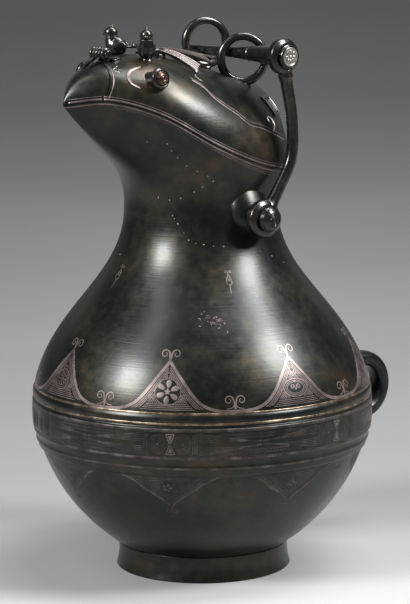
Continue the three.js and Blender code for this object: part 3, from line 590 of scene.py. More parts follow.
def seamForward(arches, inset=0.0, past=0.0):
    # where the leaning seam runs at each arch, or a distance past it
    lean = math.tan(math.radians(head["seamLean"]))
    forward = np.full(np.shape(arches), head["seam"] + past)
    for _ in range(20):
        rise = headPoint(forward, arches, inset)[..., 2] - float(jointHeight(head["seam"]))
        forward = 0.5 * forward + 0.5 * (head["seam"] + past - lean * rise)
    return forward


def headSections(start, end, count, arches, inset, fineStart):
    # closest together at the start or at the end
    t = 0.5 * math.pi * np.linspace(0, 1, count)
    t = 1 - np.cos(t) if fineStart else np.sin(t)
    return headPoint(mix(start, end, t[:, None]), arches[None, :], inset)


def closedShell(outer, inner):
    # joins two matching skins along their edges
    ring = np.concatenate([outer, inner[:, ::-1]], axis=1)
    corners, faces = joinGrids([(ring, False, True)])
    rows, columns = ring.shape[:2]
    half = outer.shape[1]
    caps = []
    for row in (0, rows - 1):
        for k in range(half - 1):
            a, b = row * columns + k, row * columns + k + 1
            c, d = row * columns + columns - 2 - k, row * columns + columns - 1 - k
            caps.append((a, b, c, d))
    return corners, np.concatenate([faces, np.array(caps)])


def tongueGrid():
    # the lip that reaches down into the mouth and holds the lid in its place
    inset = vessel["wall"] + head["lidGap"]
    start = math.acos((head["seam"] - 2) / (head["beakReach"] - head["tip"] * inset))
    turns = np.linspace(start, 2 * math.pi - start, 150)
    loops = []
    for grow, along, lift in ((0, 0.93, 0.0), (0, 1.0, 0.0), (0, 1.0, 3.0), (2, 1.0, 3.0), (2, 0.93, 0.0)):
        loop = jawPoint(turns, along, inset + grow)
        loop[:, 2] += lift
        loops.append(loop)
    points = np.stack(loops, axis=1)
    return capped(points), False, True


def lidPieces():
    arches = np.linspace(0, math.pi, head["arches"])
    back = -head["seamGap"] / 2
    wall = vessel["wall"]
    outerStart = -head["radius"] + 0.01
    outer = headSections(outerStart, seamForward(arches, 0.0, back), head["lidRows"], arches, 0.0, True)
    innerStart = -head["radius"] + wall + 0.01
    inner = headSections(innerStart, seamForward(arches, wall, back), head["lidRows"], arches, wall, True)
    shell = closedShell(outer, inner)
    mesh = makeMesh("castLid", *joinMeshes(shell, joinGrids([tongueGrid()])))
    addPiece("castLid", mesh, darkBronze, "lid", "bronze", ["lid_shell"])


def knuckleOutline(width):
    b = beakTip
    count = 14 * b["ribs"] + 1
    t = np.linspace(0, 1, count)
    rib = b["ribDepth"] * (1 - np.abs(np.sin(b["ribs"] * math.pi * t)) ** 0.6)
    outline = [(b["knuckleRadius"] - r, -width / 2 + width * s) for r, s in zip(rib, t)]
    return [(0, -width / 2), *outline, (0, width / 2)]


def knuckleGrids(first):
    b = beakTip
    width = b["knuckleWidth"] - b["gap"]
    half = b["knuckles"] * b["knuckleWidth"] / 2
    middles = [-half + (i + 0.5) * b["knuckleWidth"] for i in range(first, b["knuckles"], 2)]
    barrels = [turnedGrid(knuckleOutline(width), "aside", (at, b["hinge"], b["hingeHeight"]), 40)
               for at in middles]
    return barrels, middles


def slabGrid(outline, low, high, bevel):
    # a plate with softened edges, from an outline in aside and forward; low and high may follow the outline
    outline = np.asarray(outline, float)
    middle = outline.mean(axis=0)
    inward = middle - outline
    inward /= np.linalg.norm(inward, axis=1, keepdims=True)
    low, high = np.broadcast_to(low, len(outline)), np.broadcast_to(high, len(outline))
    rows = []
    section = ((1, low, 0), (0, low, bevel), (0, high, -bevel), (0.3, high, -0.3 * bevel), (1, high, 0))
    for share, height, lift in section:
        ring = outline + inward * bevel * share
        rows.append(place(ring[:, 0], ring[:, 1], height + lift))
    first = place(*np.broadcast_arrays(middle[0], middle[1], np.full(len(outline), low.mean())))
    last = place(*np.broadcast_arrays(middle[0], middle[1], np.full(len(outline), high.mean())))
    return np.stack([first, *rows, last]), False, True


def roundedBox(halfAside, halfForward, middle, corner, steps=5):
    points = []
    for quarter, (a, f) in enumerate(((1, 1), (-1, 1), (-1, -1), (1, -1))):
        for t in np.linspace(0, math.pi / 2, steps):
            angle = t + quarter * math.pi / 2
            points.append((middle[0] + a * (halfAside - corner) + corner * math.cos(angle),
                           middle[1] + f * (halfForward - corner) + corner * math.sin(angle)))
    return points


def beakPieces():
    b = beakTip
    arches = np.linspace(0, math.pi, head["arches"])
    front = head["seamGap"] / 2
    wall = vessel["wall"]
    outerEnd = head["beakReach"] - 0.01
    outer = headSections(seamForward(arches, 0.0, front), outerEnd, head["tipRows"], arches, 0.0, False)
    innerEnd = head["beakReach"] - head["tip"] * wall - 0.01
    inner = headSections(seamForward(arches, wall, front), innerEnd, head["tipRows"], arches, wall, False)
    shell = closedShell(outer, inner)
    barrels, middles = knuckleGrids(1)
    straps = []
    for at in middles:
        course = [(at, b["hinge"] + d, h) for d, h in b["strap"]]
        straps.append(tubeGrid(placed(course), [1, 1, 1, 0.95, 0.5], 16, squeeze=(1.4, 1.5)))
    mesh = makeMesh("beakTip", *joinMeshes(shell, joinGrids([*barrels, *straps])))
    addPiece("beakTip", mesh, darkBronze, "beak_tip", "bronze", ["beak_flap"])

    barrels, middles = knuckleGrids(0)
    plateMiddle = (b["leafBack"] + b["leafFront"]) / 2
    outline = roundedBox(7.7, (b["leafFront"] - b["leafBack"]) / 2, (0, plateMiddle), 1.6)
    crown = np.array([crownAt(a, f) for a, f in outline])
    plate = slabGrid(outline, crown - 1.5, crown + 1.7, 0.7)
    courses = [[(at, b["hinge"] - d, h) for d, h in b["leafStrap"]] for at in middles]
    straps = [tubeGrid(placed(course), 1.0, 16, squeeze=(1.4, 1.3)) for course in courses]
    grids = [*barrels, plate, *straps]
    gridPiece("hingeLeaf", grids, handledBronze, "lid", "worn_bronze", ["beak_hinge_leaf"])

    end = b["knuckles"] * b["knuckleWidth"] / 2 + 0.3
    outline = [(0, -end - 1.5), (b["pinHead"] * 0.8, -end - 1.3), (b["pinHead"], -end - 0.7),
               (b["pinHead"], -end), (b["pinRadius"], -end), (b["pinRadius"], end), (b["pinHead"], end),
               (b["pinHead"], end + 0.7), (b["pinHead"] * 0.8, end + 1.3), (0, end + 1.5)]
    grids = [turnedGrid(rounded(outline, 0.3), "aside", (0, b["hinge"], b["hingeHeight"]), 32)]
    gridPiece("hingePin", grids, handledBronze, "lid", "worn_bronze", ["beak_hinge_pin"])


lidPieces()
beakPieces()
print("lid and beak tip made")


# Loop grip on the back of the belly, and the plate under it

grip = {"height": 108.0, "reach": 179.0, "bend": 20.0, "halfWidth": 7.8, "halfThick": 5.7, "square": 0.8,
        "rootGrow": 0.28, "rootLength": 7.0, "rootDepth": 4.5, "outside": 6.0}
baseDisc = {"plug": 45.7, "flange": 50.0, "thick": 2.0, "gap": 0.3}


def gripPiece():
    g = grip
    bendReach = g["reach"] - g["outside"] - g["bend"]
    start = float(bellyRadius(g["height"] - g["bend"])) - g["rootDepth"]
    upperStart = float(bellyRadius(g["height"] + g["bend"])) - g["rootDepth"]
    turns = np.linspace(0, math.pi, 40)
    bend = [(bendReach + g["bend"] * math.sin(t), g["height"] + g["bend"] * math.cos(t)) for t in turns]
    above = [(r, g["height"] + g["bend"]) for r in np.linspace(upperStart, bendReach, 14)[:-1]]
    below = [(r, g["height"] - g["bend"]) for r in np.linspace(bendReach, start, 14)[1:]]
    course = np.array([*above, *bend, *below])
    length = lengthAlong(course)
    fromEnd = np.minimum(length - g["rootDepth"], length[-1] - g["rootDepth"] - length)
    radii = 1 + g["rootGrow"] * np.exp(-np.clip(fromEnd, 0, None) / g["rootLength"] * 2)
    along = np.gradient(course, axis=0)
    along /= np.linalg.norm(along, axis=1, keepdims=True)
    around = fullTurn(40)
    wide = np.sign(np.cos(around)) * np.abs(np.cos(around)) ** g["square"] * g["halfWidth"]
    thick = np.sign(np.sin(around)) * np.abs(np.sin(around)) ** g["square"] * g["halfThick"]
    reach = course[:, :1] + along[:, 1:] * thick * radii[:, None]
    height = course[:, 1:] - along[:, :1] * thick * radii[:, None]
    points = place(wide * radii[:, None], -reach, height)
    grids = [(capped(points, [place(0, -course[i, 0], course[i, 1]) for i in (0, -1)]), False, True)]
    gridPiece("loopGrip", grids, darkBronze, "vessel", "bronze", ["rear_grip"], 50)


def basePiece():
    rest = vessel["footHeight"] + vessel["wall"] + baseDisc["gap"]
    outline = [(0, vessel["footHeight"]), (baseDisc["plug"], vessel["footHeight"]), (baseDisc["plug"], rest),
               (baseDisc["flange"], rest), (baseDisc["flange"], rest + baseDisc["thick"]),
               (0, rest + baseDisc["thick"])]
    grids = [turnedGrid(rounded(outline, 0.5), segments=120)]
    gridPiece("baseDisc", grids, darkBronze, "vessel", "bronze", ["base_plate"])


gripPiece()
basePiece()
print("grip and base made")


# Arm: boss and pin on the neck, link, crossbar and cap, all turned about the line across the head

arm = {
    "pivotHeight": 253.5, "aside": 65.9, "eyeWidth": 9.0, "lowerEye": 13.2, "upperEye": 12.4, "rod": 4.4,
    "barReach": -18.5, "barHeight": 363.1, "bow": [(-14.5, 273), (-26, 294), (-26.5, 320), (-22, 344)],
    "pinRadius": 4.0, "knobRadius": 8.5, "knobLength": 7.0, "capRadius": 8.2, "capLength": 3.2, "gap": 0.3,
    "knobInlay": 4.4, "capInlay": 6.6, "barEnd": -37.0,
    "bar": [(-36.6, 2.4), (-35.6, 3.0), (0, 3.6), (14, 4), (28, 4.7), (40, 5.6), (50, 6.5), (55, 7.3),
            (59, 8.0), (60.7, 8.3)],
    "bossRadius": 16.0, "bossTip": 7.0, "bossRise": 5.0, "beadAt": 33.0,
    "bead": [(4.0, -1.1), (5.0, -0.7), (5.3, 0), (5.0, 0.7), (4.0, 1.1), (4.0, -1.1)],
}
armInner = arm["aside"] - arm["eyeWidth"] / 2
armOuter = arm["aside"] + arm["eyeWidth"] / 2
pivotAt = (0.0, 0.0, arm["pivotHeight"])
barAt = (0.0, arm["barReach"], arm["barHeight"])


def bossPiece():
    # a trumpet-shaped boss, whose wide end follows the neck's round
    tip = armInner - arm["gap"]
    turns = fullTurn(72)
    rows = []
    profile = bezier([(arm["bossRadius"], 0.0), (arm["bossRadius"] * 0.93, 0.5), (arm["bossTip"] * 1.3, 0.9),
                      (arm["bossTip"], 1.0)], np.linspace(0, 1, 26))
    rim = [(arm["bossRadius"] + 0.5, -0.10), (arm["bossRadius"] + 0.55, -0.02),
           (arm["bossRadius"] + 0.35, 0.03)]
    mouth = [(arm["bossTip"] - 0.3, 1.0), (arm["bossTip"] - 2.4, 1.0)]
    for radius, share in [*rim, *profile, *mouth]:
        forward = radius * np.cos(turns)
        up = radius * np.sin(turns)
        root = np.sqrt(vessel["neckRadius"] ** 2 - forward ** 2) + 0.2
        aside = mix(root, tip, share)
        rows.append(place(aside, forward, arm["pivotHeight"] + up + arm["bossRise"] * (1 - share)))
    deep = rows[0] - np.array([2.0, 0, 0])
    last = np.repeat(rows[-1].mean(axis=0)[None], len(turns), axis=0)
    middle = np.repeat(deep.mean(axis=0)[None], len(turns), axis=0)
    grids = [(np.stack([middle, deep, *rows, last]), False, True)]
    gridPiece("neckBoss", grids, darkBronze, "vessel", "bronze", ["pivot_boss"])


def knobOutline(radius, inlay, length, start):
    # the stepped face of a pin's head or a cap, from its back edge to the seat of its inlay
    face = inlay + 0.25
    return [(radius - 1.1, start), (radius, start + 1.2), (radius, start + length * 0.42),
            (radius - 0.7, start + length * 0.5), (radius - 0.7, start + length * 0.62),
            (radius - 0.2, start + length * 0.7), (face + 0.7, start + length), (face, start + length),
            (face, start + length - 0.9), (0, start + length - 0.9)]


def pinPieces():
    knob = armOuter + arm["gap"]
    start = vessel["neckRadius"] + 1.7
    shaft = [(0, start), (arm["pinRadius"], start), (arm["pinRadius"], knob)]
    shape = knobOutline(arm["knobRadius"], arm["knobInlay"], arm["knobLength"], knob)
    outline = rounded([*shaft, *shape], 0.3)
    grids = [turnedGrid(outline, "aside", pivotAt, 64)]
    gridPiece("pivotPin", grids, handledBronze, "vessel", "worn_bronze", ["pivot_pin"])
    discPiece("pinDisc", "pin_inlay", "vessel", pivotAt, arm["knobInlay"], knob + arm["knobLength"], "coil")

    barEnd = armOuter + arm["gap"] + arm["capLength"] * 0.3
    profile = through(arm["bar"])
    outline = [(0, arm["barEnd"]), (1.6, arm["barEnd"])]
    outline += [(float(profile(p)), p) for p in np.linspace(arm["bar"][0][0], armInner - arm["gap"], 60)]
    outline += [(arm["pinRadius"], armInner - arm["gap"]), (arm["pinRadius"], barEnd), (0, barEnd)]
    bead = turnedGrid(arm["bead"], "aside", (arm["beadAt"], barAt[1], barAt[2]), 48)
    grids = [turnedGrid(outline, "aside", barAt, 48), bead]
    gridPiece("crossbar", grids, handledBronze, "bar", "worn_bronze", ["crossbar"])

    start = armOuter + arm["gap"]
    socket = arm["pinRadius"] + arm["gap"]
    outline = rounded([(0, barEnd + arm["gap"]), (socket, barEnd + arm["gap"]), (socket, start),
                       *knobOutline(arm["capRadius"], arm["capInlay"], arm["capLength"], start)], 0.3)
    grids = [turnedGrid(outline, "aside", barAt, 64)]
    gridPiece("barCap", grids, handledBronze, "bar", "worn_bronze", ["crossbar_cap"])
    discPiece("capDisc", "cap_inlay", "bar", barAt, arm["capInlay"], start + arm["capLength"], "petals")


def discPiece(name, node, body, at, edge, face, pattern):
    # an inlaid disc: a plate with raised rings, and petals or a coil on it
    floor = face - 0.6
    outline = [(0, floor), (edge, floor), (edge, face - 0.2), (edge - 0.3, face + 0.1),
               (edge - 0.9, face + 0.1), (edge - 1.2, face - 0.25), (edge - 1.5, face - 0.25),
               (edge * 0.5, face - 0.05), (0, face + 0.05)]
    grids = [turnedGrid(rounded(outline, 0.12, 2), "aside", at, 56)]
    if pattern == "petals":
        for k in range(8):
            turn = k * math.pi / 4
            middle = place(at[0] + face, at[1] + edge * 0.5 * math.cos(turn),
                           at[2] + edge * 0.5 * math.sin(turn))
            grids.append(ballGrid(middle, (0.42, edge * 0.25, edge * 0.13), 8, 14, tipped(-turn)))
        grids.append(ballGrid(place(at[0] + face, at[1], at[2]), (0.6, edge * 0.17, edge * 0.17), 8, 14))
    else:
        turns = np.linspace(0, 5 * math.pi, 90)
        reach = mix(edge * 0.72, edge * 0.16, turns / turns[-1])
        course = place(at[0] + face - 0.02, at[1] + reach * np.cos(turns), at[2] + reach * np.sin(turns))
        grids.append(tubeGrid(course, 0.42, 8))
    finish, slotName = (paleSilver, "silver_inlay") if pattern == "petals" else (handledBronze, "worn_bronze")
    gridPiece(name, grids, finish, body, slotName, [node], 40)


def linkPiece():
    middleLine = [(0.0, arm["pivotHeight"]), *arm["bow"], (arm["barReach"], arm["barHeight"])]
    course = smoothCourse(middleLine, 90)
    lengths = lengthAlong(course)
    keep = (lengths > arm["lowerEye"] - 4) & (lengths < lengths[-1] - arm["upperEye"] + 4)
    lengths, course = lengths[keep], course[keep]
    share = (lengths - lengths[0]) / (lengths[-1] - lengths[0])
    radii = arm["rod"] * (1 - 0.06 * np.sin(math.pi * share)) + 0.9 * np.exp(-((share - 0.955) / 0.022) ** 2)
    radii += 1.2 * np.exp(-share / 0.035) + 0.9 * np.exp(-(1 - share) / 0.02)
    path = place(arm["aside"], course[:, 0], course[:, 1])
    rod = tubeGrid(path, radii, 28, squeeze=(0.94, 1.0))

    def linkEye(radius, at):
        half = arm["eyeWidth"] / 2
        bore = arm["pinRadius"] + arm["gap"]
        ring = [(bore, -half), (radius - 3.4, -half), (radius - 2.8, -half + 0.4),
                (radius - 1.0, -half + 1.2), (radius, -half + 2.6), (radius, half - 2.4),
                (radius - 0.8, half - 1.3), (radius - 2.2, half - 0.5), (radius - 2.8, half), (bore, half),
                (bore, -half)]
        return turnedGrid(rounded(ring, 0.5), "aside", (arm["aside"], at[1], at[2]), 96)

    mesh = fuse("armLink", [rod, linkEye(arm["lowerEye"], pivotAt), linkEye(arm["upperEye"], barAt)], 0.35, 3)
    addPiece("armLink", mesh, handledBronze, "arm", "worn_bronze", ["arm_link"])


def smoothCourse(points, count):
    # a smooth curve through points, by their distance along it
    points = np.asarray(points, float)
    length = lengthAlong(points, 0.5)
    at = np.linspace(0, length[-1], count)
    return np.stack([through(list(zip(length, points[:, k])))(at) for k in range(points.shape[1])], axis=-1)


bossPiece()
pinPieces()
linkPiece()
print("arm made")


# Rings on the lid, which the crossbar runs through

lidRing = {"radius": 15.6, "wire": 3.0, "reach": -22.4, "aside": 20.0, "left": (358.6, 30),
           "right": (367.9, 16), "footRadius": 3.6, "footSpread": 2.2}


def ringPiece(side, name, node):
    r = lidRing
    height, turnedBy = r[side]
    turnedBy = math.radians(turnedBy)
    sign = 1 if side == "left" else -1
    turns = fullTurn(120)
    wave = r["wire"] * (1 - 0.035 * np.cos(3 * turns + sign))
    across = r["radius"] * np.sin(turns)
    path = place(sign * r["aside"] + across * math.sin(turnedBy), r["reach"] - across * math.cos(turnedBy),
                 height + r["radius"] * np.cos(turns))
    ground = crownAt(r["aside"], r["reach"])
    low = height - r["radius"] - 1.5
    foot = [(sign * r["aside"], r["reach"], z) for z in np.linspace(low, ground - 1.2, 8)]
    swell = r["footRadius"] + r["footSpread"] * np.linspace(0, 1, 8) ** 3
    hoop = tubeGrid(path, wave, 28, closed=True, up=(math.cos(turnedBy), -math.sin(turnedBy), 0))
    mesh = fuse(name, [hoop, tubeGrid(placed(foot), swell, 28)], 0.4, 4)
    addPiece(name, mesh, handledBronze, "lid", "worn_bronze", [node])


ringPiece("left", "lidRingLeft", "lid_ring_left")
ringPiece("right", "lidRingRight", "lid_ring_right")
print("lid rings made")


# Eyes: a peg with a rolled rim, and a ringed copper dome in it

eye = {"reach": 68.8, "aside": 34.4, "height": 350.7, "radius": 7.2, "neck": 5.6, "stand": 7.6, "root": 8.0,
       "tilt": 9.0, "dome": 4.9}


def eyePieces(sign, side):
    e = eye
    radius, domeRadius, stand = e["radius"], e["dome"], e["stand"]
    peg = rounded([(0, -e["root"]), (e["neck"], -e["root"]), (e["neck"], stand * 0.62),
                   (radius - 0.3, stand * 0.68), (radius, stand * 0.8), (radius, stand + 0.2),
                   (domeRadius + 1.0, stand + 1.3), (domeRadius + 0.35, stand + 1.1),
                   (domeRadius + 0.35, stand), (0, stand)], 0.5)
    floor = stand + 0.3
    dome = [(0, floor), (domeRadius, floor), (domeRadius, floor + 0.9), (domeRadius - 0.5, floor + 1.5),
            (domeRadius - 1.1, floor + 1.35), (domeRadius - 1.5, floor + 2.1),
            (domeRadius * 0.42, floor + 2.55), (domeRadius * 0.36, floor + 2.3),
            (domeRadius * 0.2, floor + 2.8), (0, floor + 2.85)]
    tilt = math.radians(e["tilt"])
    parts = (("eyePeg", peg, handledBronze, "worn_bronze", "eye_"),
             ("eyeDome", rounded(dome, 0.25), copperInlay, "copper_inlay", "eye_inlay_"))
    for name, outline, finish, slotName, node in parts:
        points, _, _ = turnedGrid(outline, "aside", (0, 0, 0), 56)
        points = points - np.array([0, axisY, 0])
        out, lift = points[..., 0].copy(), points[..., 2].copy()
        points[..., 0] = sign * (e["aside"] + out * math.cos(tilt) - lift * math.sin(tilt))
        points[..., 2] = e["height"] + out * math.sin(tilt) + lift * math.cos(tilt)
        points[..., 1] += axisY - e["reach"]
        gridPiece(name + side.capitalize(), [(points, False, True)], finish, "lid", slotName, [node + side])


eyePieces(1, "left")
eyePieces(-1, "right")
print("eyes made")


# Little birds on the crown, facing forward and outward

littleBird = {"reach": 60.5, "aside": 16.5, "turn": 50.0, "size": 7.5, "height": 22.0, "wing": 0.55}


def birdPiece(sign, name, node):
    b = littleBird
    r, foot = b["size"], b["size"] * 0.8
    ground = crownAt(b["aside"], b["reach"])
    turn = math.radians(b["turn"]) * sign

    def at(aside, forward, up):
        # from the bird's own place to the ewer's
        return place(sign * b["aside"] + forward * math.sin(turn) + aside * math.cos(turn),
                     b["reach"] + forward * math.cos(turn) - aside * math.sin(turn), ground + up)

    # plain x, y and z: the bird faces -Y before it turns
    spin = np.array([[math.cos(turn), -math.sin(turn), 0], [math.sin(turn), math.cos(turn), 0], [0, 0, 1]])

    def egg(aside, forward, up, sizes, lean=0.0, rings=20, around=28):
        return ballGrid(at(aside, forward, up), sizes, rings, around, spin @ tipped(lean))

    def rod(course, radii, squeeze=(1.0, 1.0)):
        path = np.stack([at(*p) for p in course])
        return tubeGrid(path, radii, 20, squeeze=squeeze, up=(math.cos(turn), math.sin(turn), 0))

    top = b["height"]
    grids = [
        egg(0, 0, foot + r * 0.1, (r * 0.84, r * 0.98, r * 0.98), -0.15),
        rod([(0, r * 0.3, foot + r * 0.35), (0, r * 0.42, foot + r * 0.8), (0, r * 0.5, top - r * 0.9)],
            [r * 0.74, r * 0.6, r * 0.5]),
        egg(0, r * 0.5, top - r * 0.78, (r * 0.6, r * 0.66, r * 0.58)),
        rod([(0, r * 0.85, top - r * 0.82), (0, r * 1.05, top - r * 0.88), (0, r * 1.25, top - r * 0.98)],
            [r * 0.26, r * 0.18, r * 0.06]),
        egg(0, r * 0.4, top - r * 0.2, (r * 0.15, r * 0.18, r * 0.2), 0, 10, 14),
        rod([(0, -r * 0.6, foot + r * 0.05), (0, -r * 1.0, foot + r * 0.12), (0, -r * 1.45, foot + r * 0.14),
             (0, -r * 1.9, foot + r * 0.16)], [r * 0.34, r * 0.36, r * 0.42, r * 0.44], (1.35, 0.5)),
        rod([(0, 0, foot), (0, 0, 1.0), (0, 0, -1.6)], [r * 0.36, r * 0.42, r * 0.6]),
    ]
    for wing in (-1, 1):
        wingSize = (r * 0.3, r * 0.82, r * 0.46)
        grids.append(egg(wing * r * b["wing"], -r * 0.22, foot + r * 0.16, wingSize, 0.12))
        grids.append(egg(wing * r * 0.42, r * 0.72, top - r * 0.7, (r * 0.12, r * 0.12, r * 0.12), 0, 8, 12))
    mesh = fuse(name, grids, 0.3, 2)
    addPiece(name, mesh, handledBronze, "lid", "worn_bronze", [node])

    # a collar round the neck, lines on the wings and bars across the tail
    trims = []
    turns = fullTurn(36)
    for up, radius in ((0.92, 0.61), (1.06, 0.56)):
        ring = np.stack([at(radius * r * math.cos(t), r * 0.40 + radius * r * math.sin(t), foot + r * up)
                         for t in turns])
        trims.append(tubeGrid(ring, 0.32, 8, closed=True, up=(0, 0, 1)))
    for k in range(4):
        back = -r * (0.95 + 0.25 * k)
        up = foot + r * (0.12 + 0.02 * k)
        half = r * (0.46 + 0.03 * k)
        course = [(-half, back, up + 0.2), (-half * 0.6, back, up + 1.55), (0, back, up + 1.85),
                  (half * 0.6, back, up + 1.55), (half, back, up + 0.2)]
        trims.append(tubeGrid(np.stack([at(*p) for p in smoothCourse(course, 16)]), 0.3, 8,
                              up=(math.sin(turn), -math.cos(turn), 0)))
    gridPiece(name + "Trim", trims, dimSilver, "lid", "silver_inlay")


birdPiece(1, "littleBirdLeft", "small_bird_left")
birdPiece(-1, "littleBirdRight", "small_bird_right")
print("little birds made")


# Crest: plumes that fan back from a comb, each with a silver face

crest = {"reach": 44.0, "lift": 4.0, "spread": 4.6, "comb": 8.0, "widths": (3.8, 9.4), "thick": 2.4,
         "rise": 2.2, "ends": [(-8, 0, 8, 0), (4, 15, 6.5, 20), (26, 30, 3, 34)]}


def plumeFrame(number):
    c = crest
    fromMiddle = number - len(c["ends"])
    reach, aside, lift, roll = c["ends"][abs(fromMiddle)]
    side = 1 if fromMiddle > 0 else -1
    aside *= side
    root = crownAt(0, c["reach"]) + c["lift"]
    start = place(fromMiddle * c["spread"], c["reach"], root)
    end = place(aside, reach, crownAt(aside, reach) + lift)
    along = (end - start) / np.linalg.norm(end - start)
    across = np.cross((0, 0, 1), along)
    across /= np.linalg.norm(across)
    # rolled outward about its own length
    roll = math.radians(roll) * side
    across = across * math.cos(roll) + np.cross(along, across) * math.sin(roll)
    return start, end, across, np.cross(along, across)


def plumePiece(number):
    c = crest
    start, end, across, up = plumeFrame(number)
    t = np.linspace(0, 1, 40)
    line = mix(start, end, t[:, None])
    line[:, 2] += c["rise"] * 4 * t * (1 - t)
    half = mix(*c["widths"], t) / 2
    half[-1] -= 0.3
    thick = np.full(40, c["thick"] / 2)
    thick[-1] -= 0.3
    section = np.array([(-1, 0), (-0.93, 0.5), (-0.72, 0.72), (-0.35, 0.78), (0, 1), (0.35, 0.78),
                        (0.72, 0.72), (0.93, 0.5), (1, 0), (0.9, -0.6), (0.5, -0.9), (0, -1), (-0.5, -0.9),
                        (-0.9, -0.6)])
    points = (line[:, None] + across * (half[:, None] * section[:, 0])[..., None]
              + up * (thick[:, None] * section[:, 1])[..., None])
    name = "plume" + str(number)
    blade = [(capped(points, line[[0, -1]]), False, True)]
    gridPiece(name, blade, handledBronze, "lid", "bronze", ["crest_plume_" + str(number)], 24)
    # silver laid along both halves of the blade, with the ridge left bare
    strips = []
    for side in (-1, 1):
        for low, high in ((0.10, 0.34), (0.52, 0.76)):
            k = slice(5, 39)
            middle = side * (low + high) / 2
            wide = (high - low) / 2
            top = np.interp(abs(middle), [0, 0.35, 0.72, 0.93], [1, 0.78, 0.72, 0.5])
            rows = []
            for a, h in ((-1, -0.2), (-0.85, 0.12), (0.85, 0.12), (1, -0.2)):
                rows.append(line[k] + across * (half[k] * (middle + a * wide))[:, None]
                            + up * (thick[k] * top + h)[:, None])
            strips.append((capped(np.stack(rows, axis=1)), False, True))
    gridPiece(name + "Silver", strips, silverInlay, "lid", "silver_inlay")


def combPiece():
    c = crest
    half = (len(c["ends"]) - 1) * c["spread"] + c["widths"][0]
    top = crownAt(0, c["reach"]) + c["lift"] - 0.2
    outline = roundedBox(half, c["comb"] / 2, (0, c["reach"]), 2.4)
    ground = [crownAt(a, f) - 2.0 for a, f in outline]
    arch = [top - 2.2 * (a / half) ** 2 for a, _ in outline]
    grids = [slabGrid(outline, ground, arch, 1.0)]
    gridPiece("crestComb", grids, darkBronze, "lid", "bronze", ["crest_comb"], 40)


for plume in range(1, 2 * len(crest["ends"])):
    plumePiece(plume)
combPiece()
print("crest made")


# Plaque at the back of the lid: a framed plate with plain bars

plaque = {"height": 326.0, "turn": 131.0, "width": 13.0, "length": 13.0, "thick": 1.9, "bars": 3}
plaqueRadii = np.linspace(61.9, 30, 300)


def plaquePoint(across, height, out=0.0):
    # on the back of the head, over a distance across from the plaque's middle and a height
    across, height = np.broadcast_arrays(np.asarray(across, float), np.asarray(height, float))
    turn = math.radians(plaque["turn"])

    def surface(a, z):
        # the distance from the axis, along the plaque's own direction, at which the head stands this high
        forward = plaqueRadii * math.cos(turn) - a[..., None] * math.sin(turn)
        aside = plaqueRadii * math.sin(turn) + a[..., None] * math.cos(turn)
        base = jointHeight(forward)
        share = np.clip(np.abs(aside) / np.maximum(headWidth(forward), 1e-3), 0, 1)
        tops = base + (crownHeight(forward) - base) * np.sqrt(1 - share ** 2)
        index = np.argmax(tops >= z[..., None], axis=-1).clip(1)
        low = np.take_along_axis(tops, (index - 1)[..., None], -1)[..., 0]
        high = np.take_along_axis(tops, index[..., None], -1)[..., 0]
        t = np.clip((z - low) / np.maximum(high - low, 1e-6), 0, 1)
        return mix(plaqueRadii[index - 1], plaqueRadii[index], t)

    step = 0.6
    slopeUp = (surface(across, height + step) - surface(across, height - step)) / (2 * step)
    slopeSide = (surface(across + step, height) - surface(across - step, height)) / (2 * step)
    size = np.sqrt(1 + slopeUp ** 2 + slopeSide ** 2)
    radius = surface(across, height) + out / size
    across = across - out * slopeSide / size
    aside = radius * math.sin(turn) + across * math.cos(turn)
    forward = radius * math.cos(turn) - across * math.sin(turn)
    return place(aside, forward, height - out * slopeUp / size)


def plaquePiece():
    p = plaque
    wide, tall = p["width"] / 2, p["length"] / 2

    def plate(aside, height, halfWide, halfTall, low, high, bevel=0.35, count=14):
        rows = []
        sides = [(-1, -1), (1, -1), (1, 1), (-1, 1)]
        ring = np.concatenate([np.linspace(sides[k], sides[(k + 1) % 4], count, endpoint=False)
                               for k in range(4)])
        steps = [(0, 1.0, low), (0, 1.0, high - bevel), (bevel, 1.0, high)]
        steps += [(bevel, share, high) for share in (0.66, 0.33, 0.0)]
        for shrink, share, out in steps:
            rows.append(plaquePoint(aside + ring[:, 0] * (halfWide - shrink) * share,
                                    height + ring[:, 1] * (halfTall - shrink) * share, out))
        start = np.repeat(rows[0].mean(axis=0)[None], len(ring), axis=0)
        return np.stack([start, *rows]), False, True

    grids = [plate(0, p["height"], wide, tall, -1.5, p["thick"] - 0.9)]
    grids += [plate(0, p["height"] + s * (tall - 0.9), wide, 0.9, -0.5, p["thick"]) for s in (-1, 1)]
    grids += [plate(s * (wide - 0.9), p["height"], 0.9, tall, -0.5, p["thick"]) for s in (-1, 1)]
    for k in range(p["bars"]):
        across = mix(-wide + 3.6, wide - 3.6, k / (p["bars"] - 1))
        grids.append(plate(across, p["height"], 1.0, tall - 2.6, -0.5, p["thick"] - 0.15))
    gridPiece("napePlaque", grids, handledBronze, "lid", "worn_bronze", ["nape_plaque"])


plaquePiece()
print("plaque made")


# Inlay: fine flat wires and plates that follow the bronze they are let into

